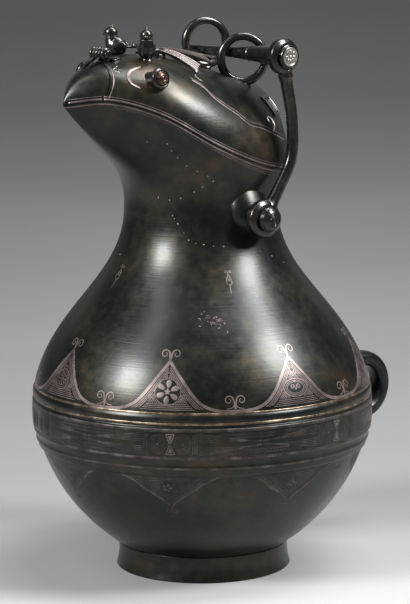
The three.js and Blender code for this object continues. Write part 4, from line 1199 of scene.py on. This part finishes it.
def ribbon(surface, first, second, width, proud=0.1, sunk=0.3, closed=False):
    # a strip along a course on a surface, which reads two course coordinates and a distance out
    first, second = np.broadcast_arrays(np.asarray(first, float), np.asarray(second, float))
    base = surface(first, second, 0.0)
    normal = surface(first, second, 0.5) - base
    normal /= np.linalg.norm(normal, axis=1, keepdims=True)
    along = np.roll(base, -1, axis=0) - np.roll(base, 1, axis=0) if closed else np.gradient(base, axis=0)
    side = np.cross(normal, along)
    side /= np.maximum(np.linalg.norm(side, axis=1, keepdims=True), 1e-9)
    half = (np.broadcast_to(np.asarray(width, float), len(base)) / 2)[:, None]
    section = ((-1, -sunk), (-0.9, proud), (0.9, proud), (1, -sunk))
    rows = [base + side * half * a + normal * h for a, h in section]
    points = np.stack(rows, axis=1)
    if not closed:
        points = capped(points)
    return points, closed, True


def dot(surface, first, second, radius, proud=0.25, around=10):
    # a small round peg head
    base = surface(np.array([first]), np.array([second]), 0.0)[0]
    normal = surface(np.array([first]), np.array([second]), 0.5)[0] - base
    normal /= np.linalg.norm(normal)
    side = np.cross(normal, (0.31, 0.2, 0.93))
    side /= np.linalg.norm(side)
    other = np.cross(normal, side)
    turns = fullTurn(around)
    rows = [np.repeat((base - normal * 0.3)[None], around, axis=0)]
    for share, height in ((1, -0.3), (1, 0.0), (0.7, proud * 0.8), (0.0, proud)):
        spokes = np.cos(turns)[:, None] * side + np.sin(turns)[:, None] * other
        rows.append(base + normal * height + radius * share * spokes)
    return np.stack(rows), False, True


def headSurface(forward, arch, out):
    return headPoint(forward, arch, -out)


def jawSurface(turn, along, out):
    return jawPoint(turn, along, -out)


def inlayPiece(name, grids, finish, body):
    gridPiece(name, grids, finish, body, "silver_inlay", sharpAngle=60)


# Lines along the joint between the lid and the vessel, on both sides of it

jointInlay = {"lidBand": (1.5, 1.2), "lidLine": (3.3, 0.35), "jawBand": (1.5, 1.2),
              "jawLines": ((3.4, 0.35), (4.9, 0.3)), "ends": (-60.5, 117.0), "seamRoom": 0.6, "jawFrom": 0.62,
              "jawStep": 0.04}


def jawShare(turn, below):
    # the share along the jaw that lies a distance under the joint line
    edge = jawPoint(turn, 1.0)
    step = jawPoint(turn, 1 - jointInlay["jawStep"])
    return 1 - jointInlay["jawStep"] * below / np.maximum(np.linalg.norm(edge - step, axis=-1), 1e-6)


def jointLines():
    j = jointInlay
    lidGrids, tipGrids = [], []
    back, front = j["ends"]
    parts = ((back, head["seam"] - j["seamRoom"], 130, lidGrids),
             (head["seam"] + j["seamRoom"], front, 30, tipGrids))
    for above, width in (j["lidBand"], j["lidLine"]):
        for sign in (1, -1):
            for start, end, count, grids in parts:
                forward = np.linspace(start, end, count)
                rise = np.maximum(crownHeight(forward) - jointHeight(forward) - head["lidGap"], 2.0)
                arch = np.arcsin(np.clip(above / rise, 0, 0.9))
                grids.append(ribbon(headSurface, forward, arch if sign > 0 else math.pi - arch, width))
    inlayPiece("lidEdgeInlay", lidGrids, silverInlay, "lid")
    inlayPiece("tipEdgeInlay", tipGrids, silverInlay, "beak_tip")
    turns = fullTurn(260)
    jawGrids = [ribbon(jawSurface, turns, jawShare(turns, j["jawBand"][0]), j["jawBand"][1], closed=True)]
    for below, width in j["jawLines"]:
        part = np.linspace(j["jawFrom"], 2 * math.pi - j["jawFrom"], 220)
        jawGrids.append(ribbon(jawSurface, part, jawShare(part, below), width))
    inlayPiece("jawEdgeInlay", jawGrids, silverInlay, "vessel")


jointLines()
print("joint lines inlaid")


# Inlay round the belly. Each motif is drawn flat, in millimetres across and up, and laid on the belly.

outlineLength = lengthAlong(smoothOutline)


def onBelly(turn, height):
    # turn in degrees; gives a surface that reads millimetres across, millimetres up the curve and out
    middle = math.radians(turn)
    start = float(np.interp(height, smoothOutline[:, 1], outlineLength))
    radius = float(bellyRadius(height))

    def read(x, y, out):
        x, y = np.broadcast_arrays(np.asarray(x, float), np.asarray(y, float))
        return bellyPoint(middle + x / radius, np.interp(start + y, outlineLength, smoothOutline[:, 1]), out)
    return read


def scroll(size, side, middle=(0.0, 0.0), stem=1.0):
    # one half of a double scroll, which rises from its middle and curls outward
    angles = np.radians(np.linspace(168, -255, 40))
    radii = np.linspace(0.80, 0.2, 40) * size
    x = 1.05 * size + radii * np.cos(angles)
    y = 0.68 * size + radii * np.sin(angles)
    x = np.concatenate([[0.0, 0.06 * size], x])
    y = np.concatenate([[-stem * size, -0.1 * size], y])
    return middle[0] + side * x, middle[1] + y


def curl(surface, side, size, middle, stem, width, proud=0.1):
    # one half of a double scroll as a strip, evenly wide or tapering over three widths
    x, y = scroll(size, side, (side * middle[0], middle[1]), stem)
    if not np.isscalar(width):
        width = np.interp(np.arange(len(x)), [0, 6, 41], width)
    return ribbon(surface, x, y, width, proud)


def offsetCurve(x, y, distance):
    # moved towards its lower left side
    dx, dy = np.gradient(x), np.gradient(y)
    size = np.hypot(dx, dy)
    return x + dy / size * distance, y - dx / size * distance


def hatching(inside, reach, angle, spacing, step=0.45):
    # straight lines at an angle, kept where inside says so
    cosine, sine = math.cos(math.radians(angle)), math.sin(math.radians(angle))
    t = np.arange(-reach, reach, step)
    lines = []
    for d in np.arange(-reach, reach, spacing):
        x, y = t * cosine - d * sine, t * sine + d * cosine
        kept = np.concatenate([[False], inside(x, y), [False]])
        edges = np.flatnonzero(np.diff(kept.astype(int)))
        for first, last in zip(edges[::2], edges[1::2]):
            if last - first >= 4:
                lines.append((x[first:last], y[first:last]))
    return lines


def patch(surface, x, y, proud=0.1):
    # a thin plate inside a closed outline
    middleX, middleY = x.mean(), y.mean()
    rows = []
    for share, out in ((1.0, -0.3), (1.0, proud * 0.7), (0.9, proud), (0.45, proud), (0.0, proud)):
        rows.append(surface(middleX + (x - middleX) * share, middleY + (y - middleY) * share, out))
    return np.stack(rows), False, True


def petals(surface, middle, inner, outer, count, width, spinBy=0.0, steps=14):
    grids = []
    for k in range(count):
        turn = 2 * math.pi * k / count + spinBy
        t = fullTurn(steps)
        along = (inner + outer) / 2 + (outer - inner) / 2 * np.cos(t)
        wide = width / 2 * np.sin(t) * (0.75 + 0.25 * np.cos(t))
        x = middle[0] + along * math.sin(turn) + wide * math.cos(turn)
        y = middle[1] + along * math.cos(turn) - wide * math.sin(turn)
        grids.append(patch(surface, x, y))
    return grids


def ring(surface, middle, radii, width, steps=48):
    t = fullTurn(steps)
    x, y = middle[0] + radii[0] * np.cos(t), middle[1] + radii[1] * np.sin(t)
    return ribbon(surface, x, y, width, closed=True)


# Leaves that stand on the gold wires

upperLeaf = {
    "count": 8, "firstTurn": -6.6, "base": 134.3, "tall": 35.2,
    "edge": [(0, 1), (0.185, 0.673), (0.29, 0.48), (0.4, 0.29), (0.52, 0.135), (0.68, 0.04), (0.83, 0.006),
             (1, 0)],
    "bandWidth": 2.3, "lineOffsets": (3.2, 4.3, 5.4), "lineWidth": 0.6, "baseLines": (0.2, 1.5, 2.7, 3.9),
    "hatchAngle": 52, "hatchSpacing": 1.1, "hatchWidth": 0.6, "hatchReach": 50, "hatchAbove": 0.7,
    "edgeSteps": 70, "lineSteps": 60, "motifs": ("round", "flower", "oval"),
    "tipScroll": 4.3, "tipRise": 0.6, "tipWidths": (1.3, 0.9, 0.55), "proud": 0.16,
    "valleyScroll": 4.1, "valleyRise": 3.6, "valleyStem": 0.8, "valleyWidths": (1.3, 0.85, 0.5),
    "valleyFoot": ((0.4, 1.4, 3.2, 6.0), (3.4, 1.8, 0.9, 0.6)), "footWidth": 0.7,
}


def leafTurn(leaf, number):
    return leaf["firstTurn"] + 360 / leaf["count"] * number


def leafEdge(leaf):
    # half of a leaf's outline, from its tip to the valley
    halfWidth = math.pi / leaf["count"] * float(bellyRadius(leaf["base"]))
    shares = np.linspace(0, 1, leaf["edgeSteps"])
    return halfWidth * shares, leaf["tall"] * through(leaf["edge"])(shares)


def edgeStrip(surface, edge, side, offset, width, proud=0.1, start=0.2, lowest=-math.inf):
    # a strip that follows a leaf's outline inside it
    x, y = offsetCurve(*edge, offset)
    keep = (x >= start) & (y >= lowest)
    return ribbon(surface, side * x[keep], y[keep], width, proud)


def edgeLines(surface, leaf, edge, side):
    return [edgeStrip(surface, edge, side, offset, leaf["lineWidth"], start=0.3, lowest=0.4)
            for offset in leaf["lineOffsets"]]


def leafRoom(leaf, edge):
    # half the width that is left inside a leaf's lines, read at any height, and the lowest height
    innerX, innerY = offsetCurve(*edge, leaf["lineOffsets"][-1] + 0.8)

    def reach(y):
        return np.interp(y, innerY[::-1], innerX[::-1], right=-1)
    return reach, float(innerY.min()) + 0.01


def baseLines(surface, leaf, edge):
    reach, lowest = leafRoom(leaf, edge)
    count = leaf["lineSteps"]
    lines = []
    for height in leaf["baseLines"]:
        wide = float(reach(max(height, lowest))) - 1.0
        across = np.linspace(-wide, wide, count)
        lines.append(ribbon(surface, across, np.full(count, height), leaf["lineWidth"]))
    return lines


def hatchLines(surface, leaf, edge, middle, room):
    # slanting lines between the base lines and the tip, with the motif's room left free
    reach, _ = leafRoom(leaf, edge)
    start = leaf["baseLines"][-1] + leaf["hatchAbove"]
    lines = []
    for side in (-1, 1):
        def inside(x, y):
            clear = ((x - middle[0]) / room[0]) ** 2 + ((y - middle[1]) / room[1]) ** 2 > 1
            return (np.abs(x) < reach(y)) & (side * x > 0) & (y > start) & clear
        for x, y in hatching(inside, leaf["hatchReach"], side * leaf["hatchAngle"], leaf["hatchSpacing"]):
            lines.append(ribbon(surface, x, y, leaf["hatchWidth"]))
    return lines


def leafMotif(surface, kind):
    # returns grids and the room that the motif needs: its middle and its half sizes
    if kind == "flower":
        middle, room = (0.0, 12.2), (9.6, 8.4)
        grids = petals(surface, middle, 2.6, 8.2, 6, 4.6, 0.1)
        grids += petals(surface, middle, 0.0, 2.1, 5, 1.5)
        grids.append(ring(surface, middle, (9.2, 8.9), 0.5))
        for side in (-1, 1):
            grids.append(curl(surface, side, 2.2, (9.8, 7.2), 0.2, 0.6))
            grids.append(curl(surface, side, 2.0, (0.4, 21.4), 0.3, 0.6))
        return grids, middle, room
    if kind == "oval":
        middle, room = (0.0, 11.4), (10.4, 6.6)
        rings = ((9.8, 6.1, 0.9), (8.2, 4.9, 0.5), (6.9, 3.9, 0.5))
        grids = [ring(surface, middle, (a, b), w) for a, b, w in rings]
        grids += [curl(surface, side, 2.1, (0.3, 10.6), 0.3, 0.7) for side in (-1, 1)]
        grids += petals(surface, (0, 14.6), 0.0, 1.4, 1, 2.4)
        grids += [curl(surface, side, 2.0, (0.0, 20.4), 0.3, 0.6) for side in (1, -1)]
        return grids, middle, room
    middle, room = (0.0, 12.0), (8.0, 7.6)
    rings = ((7.4, 0.8), (5.9, 0.5), (4.5, 0.5), (1.1, 0.8))
    grids = [ring(surface, middle, (r, r * 0.95), w) for r, w in rings]
    grids += petals(surface, middle, 1.9, 3.9, 8, 1.3)
    grids += [curl(surface, side, 2.2, (8.8, 6.8), 0.2, 0.6) for side in (-1, 1)]
    return grids, middle, room


def upperLeaves():
    leaf = upperLeaf
    edge = leafEdge(leaf)
    proud = leaf["proud"]
    bands, lines = [], []
    for k in range(leaf["count"]):
        surface = onBelly(leafTurn(leaf, k), leaf["base"])
        tip = (0.0, leaf["tall"] + leaf["tipRise"])
        for side in (-1, 1):
            bands.append(edgeStrip(surface, edge, side, leaf["bandWidth"] / 2, leaf["bandWidth"], proud))
            bands.append(curl(surface, side, leaf["tipScroll"], tip, 1.0, leaf["tipWidths"], proud))
            lines += edgeLines(surface, leaf, edge, side)
        motif, middle, room = leafMotif(surface, leaf["motifs"][k % len(leaf["motifs"])])
        lines += motif
        lines += baseLines(surface, leaf, edge)
        lines += hatchLines(surface, leaf, edge, middle, room)
        valley = onBelly(leafTurn(leaf, k + 0.5), leaf["base"])
        rise, stem, widths = leaf["valleyRise"], leaf["valleyStem"], leaf["valleyWidths"]
        footX, footY = np.array(leaf["valleyFoot"])
        for side in (-1, 1):
            bands.append(curl(valley, side, leaf["valleyScroll"], (0.0, rise), stem, widths, proud))
            bands.append(ribbon(valley, footX * side, footY, leaf["footWidth"], proud))
    inlayPiece("upperLeafBands", bands, silverInlay, "vessel")
    inlayPiece("upperLeafLines", lines, silverInlay, "vessel")


upperLeaves()
print("upper leaves inlaid")


# Band between the wires: six hourglasses with roundels, and long wedges of fine lines between them

middleBand = {"count": 6, "firstTurn": 39.6, "height": 111.4, "half": 8.0, "edgeLine": 0.45, "roundel": 6.4,
              "roundelAt": 8.6, "wedgeStart": 17.0, "wedges": 5, "waveStep": 2.1}


def beltBand():
    b = middleBand
    bright, dim = [], []
    span = math.pi / b["count"] * float(bellyRadius(b["height"]))
    for height in (b["height"] - b["half"] - 0.9, b["height"] + b["half"] + 0.6):
        turns = fullTurn(300)
        dim.append(ribbon(bellyPoint, turns, np.full(300, height), b["edgeLine"], closed=True))
    for k in range(b["count"]):
        surface = onBelly(b["firstTurn"] + 360 / b["count"] * k, b["height"])
        for up in (-1, 1):
            bright.append(ribbon(surface, np.linspace(-2.6, 2.6, 8), np.full(8, up * 6.9), 0.8))
            bright.append(patch(surface, np.array([-1.6, 0, 1.6, 0.5, 0, -0.5]),
                                up * np.array([6.2, 5.4, 6.2, 3.4, 1.4, 3.4])))
            for side in (-1, 1):
                x, y = side * np.linspace(3.0, 0.35, 8), up * np.linspace(6.9, 0.5, 8)
                bright.append(ribbon(surface, x, y, 0.55))
        for side in (-1, 1):
            middle = (side * b["roundelAt"], 0.0)
            for share in (1.0, 0.8, 0.6, 0.4):
                size = b["roundel"] * share
                dim.append(ring(surface, middle, (size * 0.86, size), 0.4, 36))
            t = np.linspace(0, 6.28, 12, endpoint=False)
            dim.append(patch(surface, middle[0] + 1.1 * np.cos(t), 1.1 * np.sin(t)))
            for x in np.linspace(b["roundelAt"] + 6.6, b["wedgeStart"] + 1.5, 4):
                dim.append(ribbon(surface, np.full(10, side * x), np.linspace(-6.8, 6.8, 10), 0.4))
            x = np.linspace(b["wedgeStart"] + 2.5, span - 0.5, 40)
            for up in (-1, 1):
                for line in range(b["wedges"]):
                    start = b["half"] - 0.8 - 1.35 * line
                    y = up * mix(start, 0.6 + 0.25 * line, ((x - x[0]) / (x[-1] - x[0])) ** 1.15)
                    dim.append(ribbon(surface, side * x, y, 0.55 if line == 0 else 0.4))
                wave = np.arange(span - 30, span, b["waveStep"] / 6)
                y = up * (b["half"] - 1.5 + 0.75 * np.sin(2 * math.pi * wave / b["waveStep"]))
                dim.append(ribbon(surface, side * wave, y, 0.38))
                y = up * (b["half"] - 3.6 + 0.6 * np.sin(2 * math.pi * wave / b["waveStep"] + 1))
                dim.append(ribbon(surface, side * wave[30:], y[30:], 0.35))
    inlayPiece("beltBright", bright, silverInlay, "vessel")
    inlayPiece("beltLines", dim, dimSilver, "vessel")


beltBand()
print("belt inlaid")


# Leaves that hang under the raised band

lowerLeaf = {
    "count": 8, "firstTurn": -6.6, "base": 87.6, "tall": 26.0,
    "edge": [(0, 1), (0.12, 0.79), (0.28, 0.58), (0.42, 0.42), (0.5, 0.28), (0.62, 0.14), (0.78, 0.03),
             (1, 0)],
    "bandWidth": 1.7, "lineOffsets": (2.4, 3.4), "lineWidth": 0.4, "baseLines": (0.6, 1.8, 3.0),
    "hatchAngle": 50, "hatchSpacing": 1.3, "hatchWidth": 0.38, "hatchReach": 46, "hatchAbove": 0.8,
    "edgeSteps": 60, "lineSteps": 50, "motifMiddle": (0.0, 9.0), "motifRoom": (7.0, 5.4),
    "tipScroll": 2.6, "tipRise": 0.6, "tipWidth": 0.5, "valleyScroll": 2.4, "valleyDrop": 3.5,
    "scrollWidth": 0.45,
}


def hungOnBelly(turn, height):
    # the same surface read downward
    read = onBelly(turn, height)

    def readDown(x, y, out):
        return read(x, -np.asarray(y, float), out)
    return readDown


def lowerLeaves():
    leaf = lowerLeaf
    edge = leafEdge(leaf)
    bands, lines = [], []
    for k in range(leaf["count"]):
        surface = hungOnBelly(leafTurn(leaf, k), leaf["base"])
        tip = (0.0, leaf["tall"] + leaf["tipRise"])
        for side in (-1, 1):
            bands.append(edgeStrip(surface, edge, side, leaf["bandWidth"] / 2, leaf["bandWidth"]))
            bands.append(curl(surface, side, leaf["tipScroll"], tip, 1.0, leaf["tipWidth"]))
            lines += edgeLines(surface, leaf, edge, side)
        lines += baseLines(surface, leaf, edge)
        bands += petals(surface, (-1.6, 8.8), 0.8, 3.4, 5, 1.9, 0.3)
        lines.append(curl(surface, 1, 2.0, (1.6, 9.5), 0.3, leaf["scrollWidth"]))
        lines += hatchLines(surface, leaf, edge, leaf["motifMiddle"], leaf["motifRoom"])
        between = hungOnBelly(leafTurn(leaf, k + 0.5), leaf["base"] - leaf["valleyDrop"])
        for side in (-1, 1):
            lines.append(curl(between, side, leaf["valleyScroll"], (0.0, 0.0), 0.5, leaf["scrollWidth"]))
    inlayPiece("lowerLeafBands", bands, dimSilver, "vessel")
    inlayPiece("lowerLeafLines", lines, dimSilver, "vessel")


lowerLeaves()
print("lower leaves inlaid")


# What is left of the finer inlay higher up: rows of small dots, worn patches and hanging drops

dotRows = {
    "jaw": [(38.4, 0.72), (48.6, 0.73), (48.3, 0.66), (48.9, 0.59), (51.2, 0.51), (56.2, 0.47), (62.1, 0.45),
            (64.0, 0.40), (54.8, 0.28), (47.6, 0.21), (36.4, 0.14), (27.5, 0.12), (18.6, 0.14)],
    "neck": [(29.2, 256.0), (30.5, 254.0), (33.1, 250.4), (37.7, 244.5), (41.3, 239.7), (46.5, 237.6),
             (51.9, 236.7), (58.6, 235.6), (65.7, 235.0), (93.7, 230.2), (103.0, 225.6), (112.7, 220.1)],
    "radius": 0.62, "fine": 0.42, "repeat": (0, 120, 240),
}
drops = {"height": 214.0, "turns": (-6.5, 66.0, 138.0, 210.0, 282.0), "size": 3.4}
wornPatch = {"turns": (56.0, 200.0, -52.0), "height": 189.0, "count": 26, "spread": (12.0, 6.5), "seed": 7}


def loneInlay():
    grids = []
    d = dotRows
    for k, (turn, along) in enumerate(d["jaw"]):
        radius = d["radius"] if k % 3 else d["fine"] * 1.6
        grids += [dot(jawSurface, math.radians(turn + shift), along, radius) for shift in d["repeat"]]
    for k, (turn, height) in enumerate(d["neck"]):
        radius = d["fine"] if k % 2 else d["radius"]
        grids += [dot(bellyPoint, math.radians(turn + shift), height, radius) for shift in d["repeat"]]
    for turn in drops["turns"]:
        surface = onBelly(turn, drops["height"])
        size = drops["size"]
        t = fullTurn(20)
        x, y = size * 0.62 * np.sin(t) * (1.25 + np.cos(t)) / 1.7, -size * np.cos(t) * 1.2
        grids.append(ribbon(surface, x, y, 0.6, closed=True))
        grids += petals(surface, (0, 0.8), 0.3, 1.9, 3, 1.1, math.pi)
        grids += [curl(surface, side, 1.5, (0.0, 4.6), 0.4, 0.4) for side in (-1, 1)]
        grids.append(ribbon(surface, np.zeros(8), np.linspace(-4.3, -11, 8), np.linspace(0.7, 0.25, 8)))
    draw = random.Random(wornPatch["seed"])
    for turn in wornPatch["turns"]:
        surface = onBelly(turn, wornPatch["height"])
        for k in range(wornPatch["count"]):
            x, y = (draw.gauss(0, 0.45) * s for s in wornPatch["spread"])
            angle, length = draw.uniform(0, math.pi), draw.uniform(0.6, 2.6)
            t = np.linspace(-0.5, 0.5, 6)
            bow = draw.uniform(-0.8, 0.8) * (1 - (2 * t) ** 2)
            grids.append(ribbon(surface, x + length * t * math.cos(angle) - bow * math.sin(angle),
                                y - 0.35 * x + length * t * math.sin(angle) + bow * math.cos(angle),
                                draw.uniform(0.35, 0.8)))
    inlayPiece("loneInlay", grids, silverInlay, "vessel")


loneInlay()
print("dots, drops and patches inlaid")


# Lines and scrolls on the lid

lidLines = {
    "brow": [(71.1, 57.3), (75.2, 55.6), (79.2, 52.0), (82.2, 46.2), (83.2, 40.2), (83.4, 32.5),
             (79.9, 26.4)],
    "browWidth": (0.5, 1.8, 3.2, 3.9, 3.6, 2.2, 0.5), "sideWidth": (1.2, 0.6, 1.1),
    "napeWidth": (0.7, 1.3, 0.6),
    "side": [(39.1, 48.0), (32.9, 43.9), (28.0, 36.4), (21.1, 32.5), (11.8, 28.9), (3.2, 24.5), (-8.1, 24.5),
             (-20.6, 22.4), (-35.4, 20.0)],
    "nape": [(-20.4, 24.0), (-23.6, 26.6), (-25.1, 29.6), (-24.4, 32.9), (-21.6, 34.6), (-19.0, 33.2),
             (-19.2, 30.8)],
    "seamBack": 2.0, "seamArches": (6, 78), "ticks": ((84.0, 66, 56), (86.5, 62, 52), (30.0, 58, 50)),
}


def lidInlay():
    pale, dull = [], []
    for side in (1, -1):
        def mirrored(forward, arch, out):
            turn = np.radians(arch)
            return headSurface(forward, turn if side > 0 else math.pi - turn, out)

        forward, arch = smoothCourse(lidLines["brow"], 60).T
        width = np.interp(np.linspace(0, 6, 60), range(7), lidLines["browWidth"])
        dull.append(ribbon(mirrored, forward, arch, width))
        forward, arch = smoothCourse(lidLines["side"], 90).T
        width = np.interp(np.linspace(0, 1, 90), [0, 0.3, 1], lidLines["sideWidth"])
        dull.append(ribbon(mirrored, forward, arch, width))
        dull.append(ribbon(mirrored, forward, arch + 2.6, 0.4))
        forward, arch = smoothCourse(lidLines["nape"], 60).T
        width = np.interp(np.linspace(0, 1, 60), [0, 0.5, 1], lidLines["napeWidth"])
        pale.append(ribbon(mirrored, forward, arch, width))
        arch = np.linspace(*lidLines["seamArches"], 60)
        dull.append(ribbon(mirrored, seamForward(np.radians(arch), past=-lidLines["seamBack"]), arch, 0.7))
        for reach, high, low in lidLines["ticks"]:
            a = np.linspace(high, low, 12)
            pale.append(ribbon(mirrored, reach + 2.5 * np.sin(np.linspace(0, math.pi, 12)), a, 0.5))
    inlayPiece("lidPaleInlay", pale, paleSilver, "lid")
    inlayPiece("lidLineInlay", dull, silverInlay, "lid")


lidInlay()
print("lid inlaid")


# Floor, backdrop, lamps and camera

studio = {
    "floorSize": 9.0, "wallDistance": 2.6, "wallTop": 5.0, "bend": 1.2, "worldTone": 0.30, "worldLight": 0.42,
    "paperRough": 0.85, "cloudScale": 1.5, "cloudShare": 0.03, "aimHeight": 0.2,
    # paper tone by height, which paints the shade that falls up the wall
    "paintedShadeTones": [(0.0, 0.205), (0.0075, 0.177), (0.0625, 0.104), (0.13, 0.063), (0.225, 0.043), (0.29, 0.042),
              (0.5, 0.18), (1.0, 0.3)],
    # painted light on the paper: shares that make it paler near the front and in the middle
    "paintedLightByDepth": [(-0.9, 0.75), (-0.15, 1.5), (0.04, 1.4), (0.115, 1.0), (0.195, 0.86), (0.38, 0.84)],
    "paintedLightBySide": [(-0.25, 1.05), (0.0, 1.15), (0.25, 1.0)],
    "toneTop": 1.2,
    # name, turn from the camera, rise, distance, width, height and watts
    "lamps": [
        ("leftBox", -57, 31, 2.2, 0.64, 0.66, 82),
        ("leftStrip", -63, 60, 2.4, 0.4, 1.0, 10),
        ("rightBox", 71, 41, 2.2, 0.68, 0.76, 85),
        ("rightStrip", 86, 64, 2.4, 0.45, 1.1, 36),
        ("topBox", 105, 76, 2.6, 1.4, 1.4, 50),
    ],
}
view = {"azimuth": 50.0, "distance": 1900.0, "height": 509.0, "pitch": 9.6, "focal": 2737.0,
        "axisPixel": 201.4, "roll": -0.4, "frameHeight": 604, "frameMiddle": 205, "sensor": 36}


def courseShare(nodes, links, where, way, points):
    # a share that changes from place to place along a level direction
    along = nodes.new("ShaderNodeVectorMath")
    along.operation = "DOT_PRODUCT"
    along.inputs[1].default_value = (way[0], way[1], 0)
    links.new(where, along.inputs[0])
    share = nodes.new("ShaderNodeMapRange")
    start, end = points[0][0], points[-1][0]
    share.inputs["From Min"].default_value = start
    share.inputs["From Max"].default_value = end
    links.new(along.outputs["Value"], share.inputs["Value"])
    colours = [((place - start) / (end - start), (value,) * 3) for place, value in points]
    return rampNode(nodes, links, share.outputs["Result"], colours)


def addStage():
    finish, nodes, links, shader = startFinish("studioPaper")
    where = nodes.new("ShaderNodeTexCoord").outputs["Object"]
    # painted shade: the paper's colour is pale on the floor and darker up the wall, standing in for the light
    # falling off with height
    apart = nodes.new("ShaderNodeSeparateXYZ")
    links.new(where, apart.inputs["Vector"])
    rise = nodes.new("ShaderNodeMapRange")
    rise.inputs["From Max"].default_value = studio["toneTop"]
    links.new(apart.outputs["Z"], rise.inputs["Value"])
    cloud = noiseNode(nodes, links, where, studio["cloudScale"], 3, 0.5)
    blend = blendNode(nodes, links, rise.outputs["Result"], cloud, studio["cloudShare"])
    tone = rampNode(nodes, links, blend, [(p, (t,) * 3) for p, t in studio["paintedShadeTones"]])
    shader.inputs["Roughness"].default_value = studio["paperRough"]
    azimuth = math.radians(view["azimuth"])
    away = np.array([-math.sin(azimuth), math.cos(azimuth)])
    side = np.array([away[1], -away[0]])
    # painted light: the paper's colour is paler near the front and in the middle and darker behind, a painted
    # pool of light on the floor
    paintedLightByDepth = courseShare(nodes, links, where, away, studio["paintedLightByDepth"])
    paintedLightBySide = courseShare(nodes, links, where, side, studio["paintedLightBySide"])
    for share in (paintedLightByDepth, paintedLightBySide):
        product = nodes.new("ShaderNodeMath")
        product.operation = "MULTIPLY"
        links.new(tone, product.inputs[0])
        links.new(share, product.inputs[1])
        tone = product.outputs["Value"]
    links.new(tone, shader.inputs["Base Color"])
    size, wall, bend = studio["floorSize"], studio["wallDistance"], studio["bend"]
    profile = [(-size, 0.0), (wall - bend, 0.0)]
    profile += [(wall - bend + bend * math.sin(t), bend - bend * math.cos(t))
                for t in np.linspace(0.1, math.pi / 2, 14)]
    profile += [(wall, studio["wallTop"])]
    rows = [[(away * d + side * s).tolist() + [z] for s in (-size, size)] for d, z in profile]
    corners, faces = joinGrids([(np.array(rows) / mm, False, False)])
    mesh = makeMesh("studioSweep", corners, faces, 80, weld=False)
    mesh.materials.append(finish)
    sweep = bpy.data.objects.new("studioSweep", mesh)
    bpy.context.scene.collection.objects.link(sweep)


def addLamps():
    aim = Vector((0, axisY * mm, studio["aimHeight"]))
    for name, turn, rise, distance, wide, tall, watts in studio["lamps"]:
        light = bpy.data.lights.new(name, "AREA")
        light.shape = "RECTANGLE"
        light.size, light.size_y = wide, tall
        light.energy = watts
        turn = math.radians(view["azimuth"] + turn)
        rise = math.radians(rise)
        toward = Vector((math.sin(turn) * math.cos(rise), -math.cos(turn) * math.cos(rise), math.sin(rise)))
        holder = bpy.data.objects.new(name, light)
        holder.location = aim + toward * distance
        holder.rotation_euler = (-toward).to_track_quat("-Z", "Y").to_euler()
        bpy.context.scene.collection.objects.link(holder)
    world = bpy.data.worlds.new("studioRoom")
    bpy.context.scene.world = world
    world.use_nodes = True
    back = world.node_tree.nodes["Background"]
    back.inputs["Color"].default_value = (studio["worldTone"],) * 3 + (1,)
    back.inputs["Strength"].default_value = studio["worldLight"]


def addCamera():
    camera = bpy.data.cameras.new("photoView")
    camera.sensor_fit = "VERTICAL"
    camera.sensor_height = view["sensor"]
    camera.lens = view["focal"] / view["frameHeight"] * view["sensor"]
    holder = bpy.data.objects.new("photoView", camera)
    azimuth = math.radians(view["azimuth"])
    distance = view["distance"] * mm
    holder.location = (math.sin(azimuth) * distance, axisY * mm - math.cos(azimuth) * distance,
                       view["height"] * mm)
    yaw = azimuth - math.atan((view["frameMiddle"] - view["axisPixel"]) / view["focal"])
    turned = Matrix.Rotation(yaw, 3, "Z") @ Matrix.Rotation(math.radians(90 - view["pitch"]), 3, "X")
    holder.rotation_euler = (turned @ Matrix.Rotation(math.radians(view["roll"]), 3, "Z")).to_euler()
    bpy.context.scene.collection.objects.link(holder)
    bpy.context.scene.camera = holder


addStage()
addLamps()
addCamera()
bpy.context.scene.view_settings.view_transform = "Standard"
print("studio made")
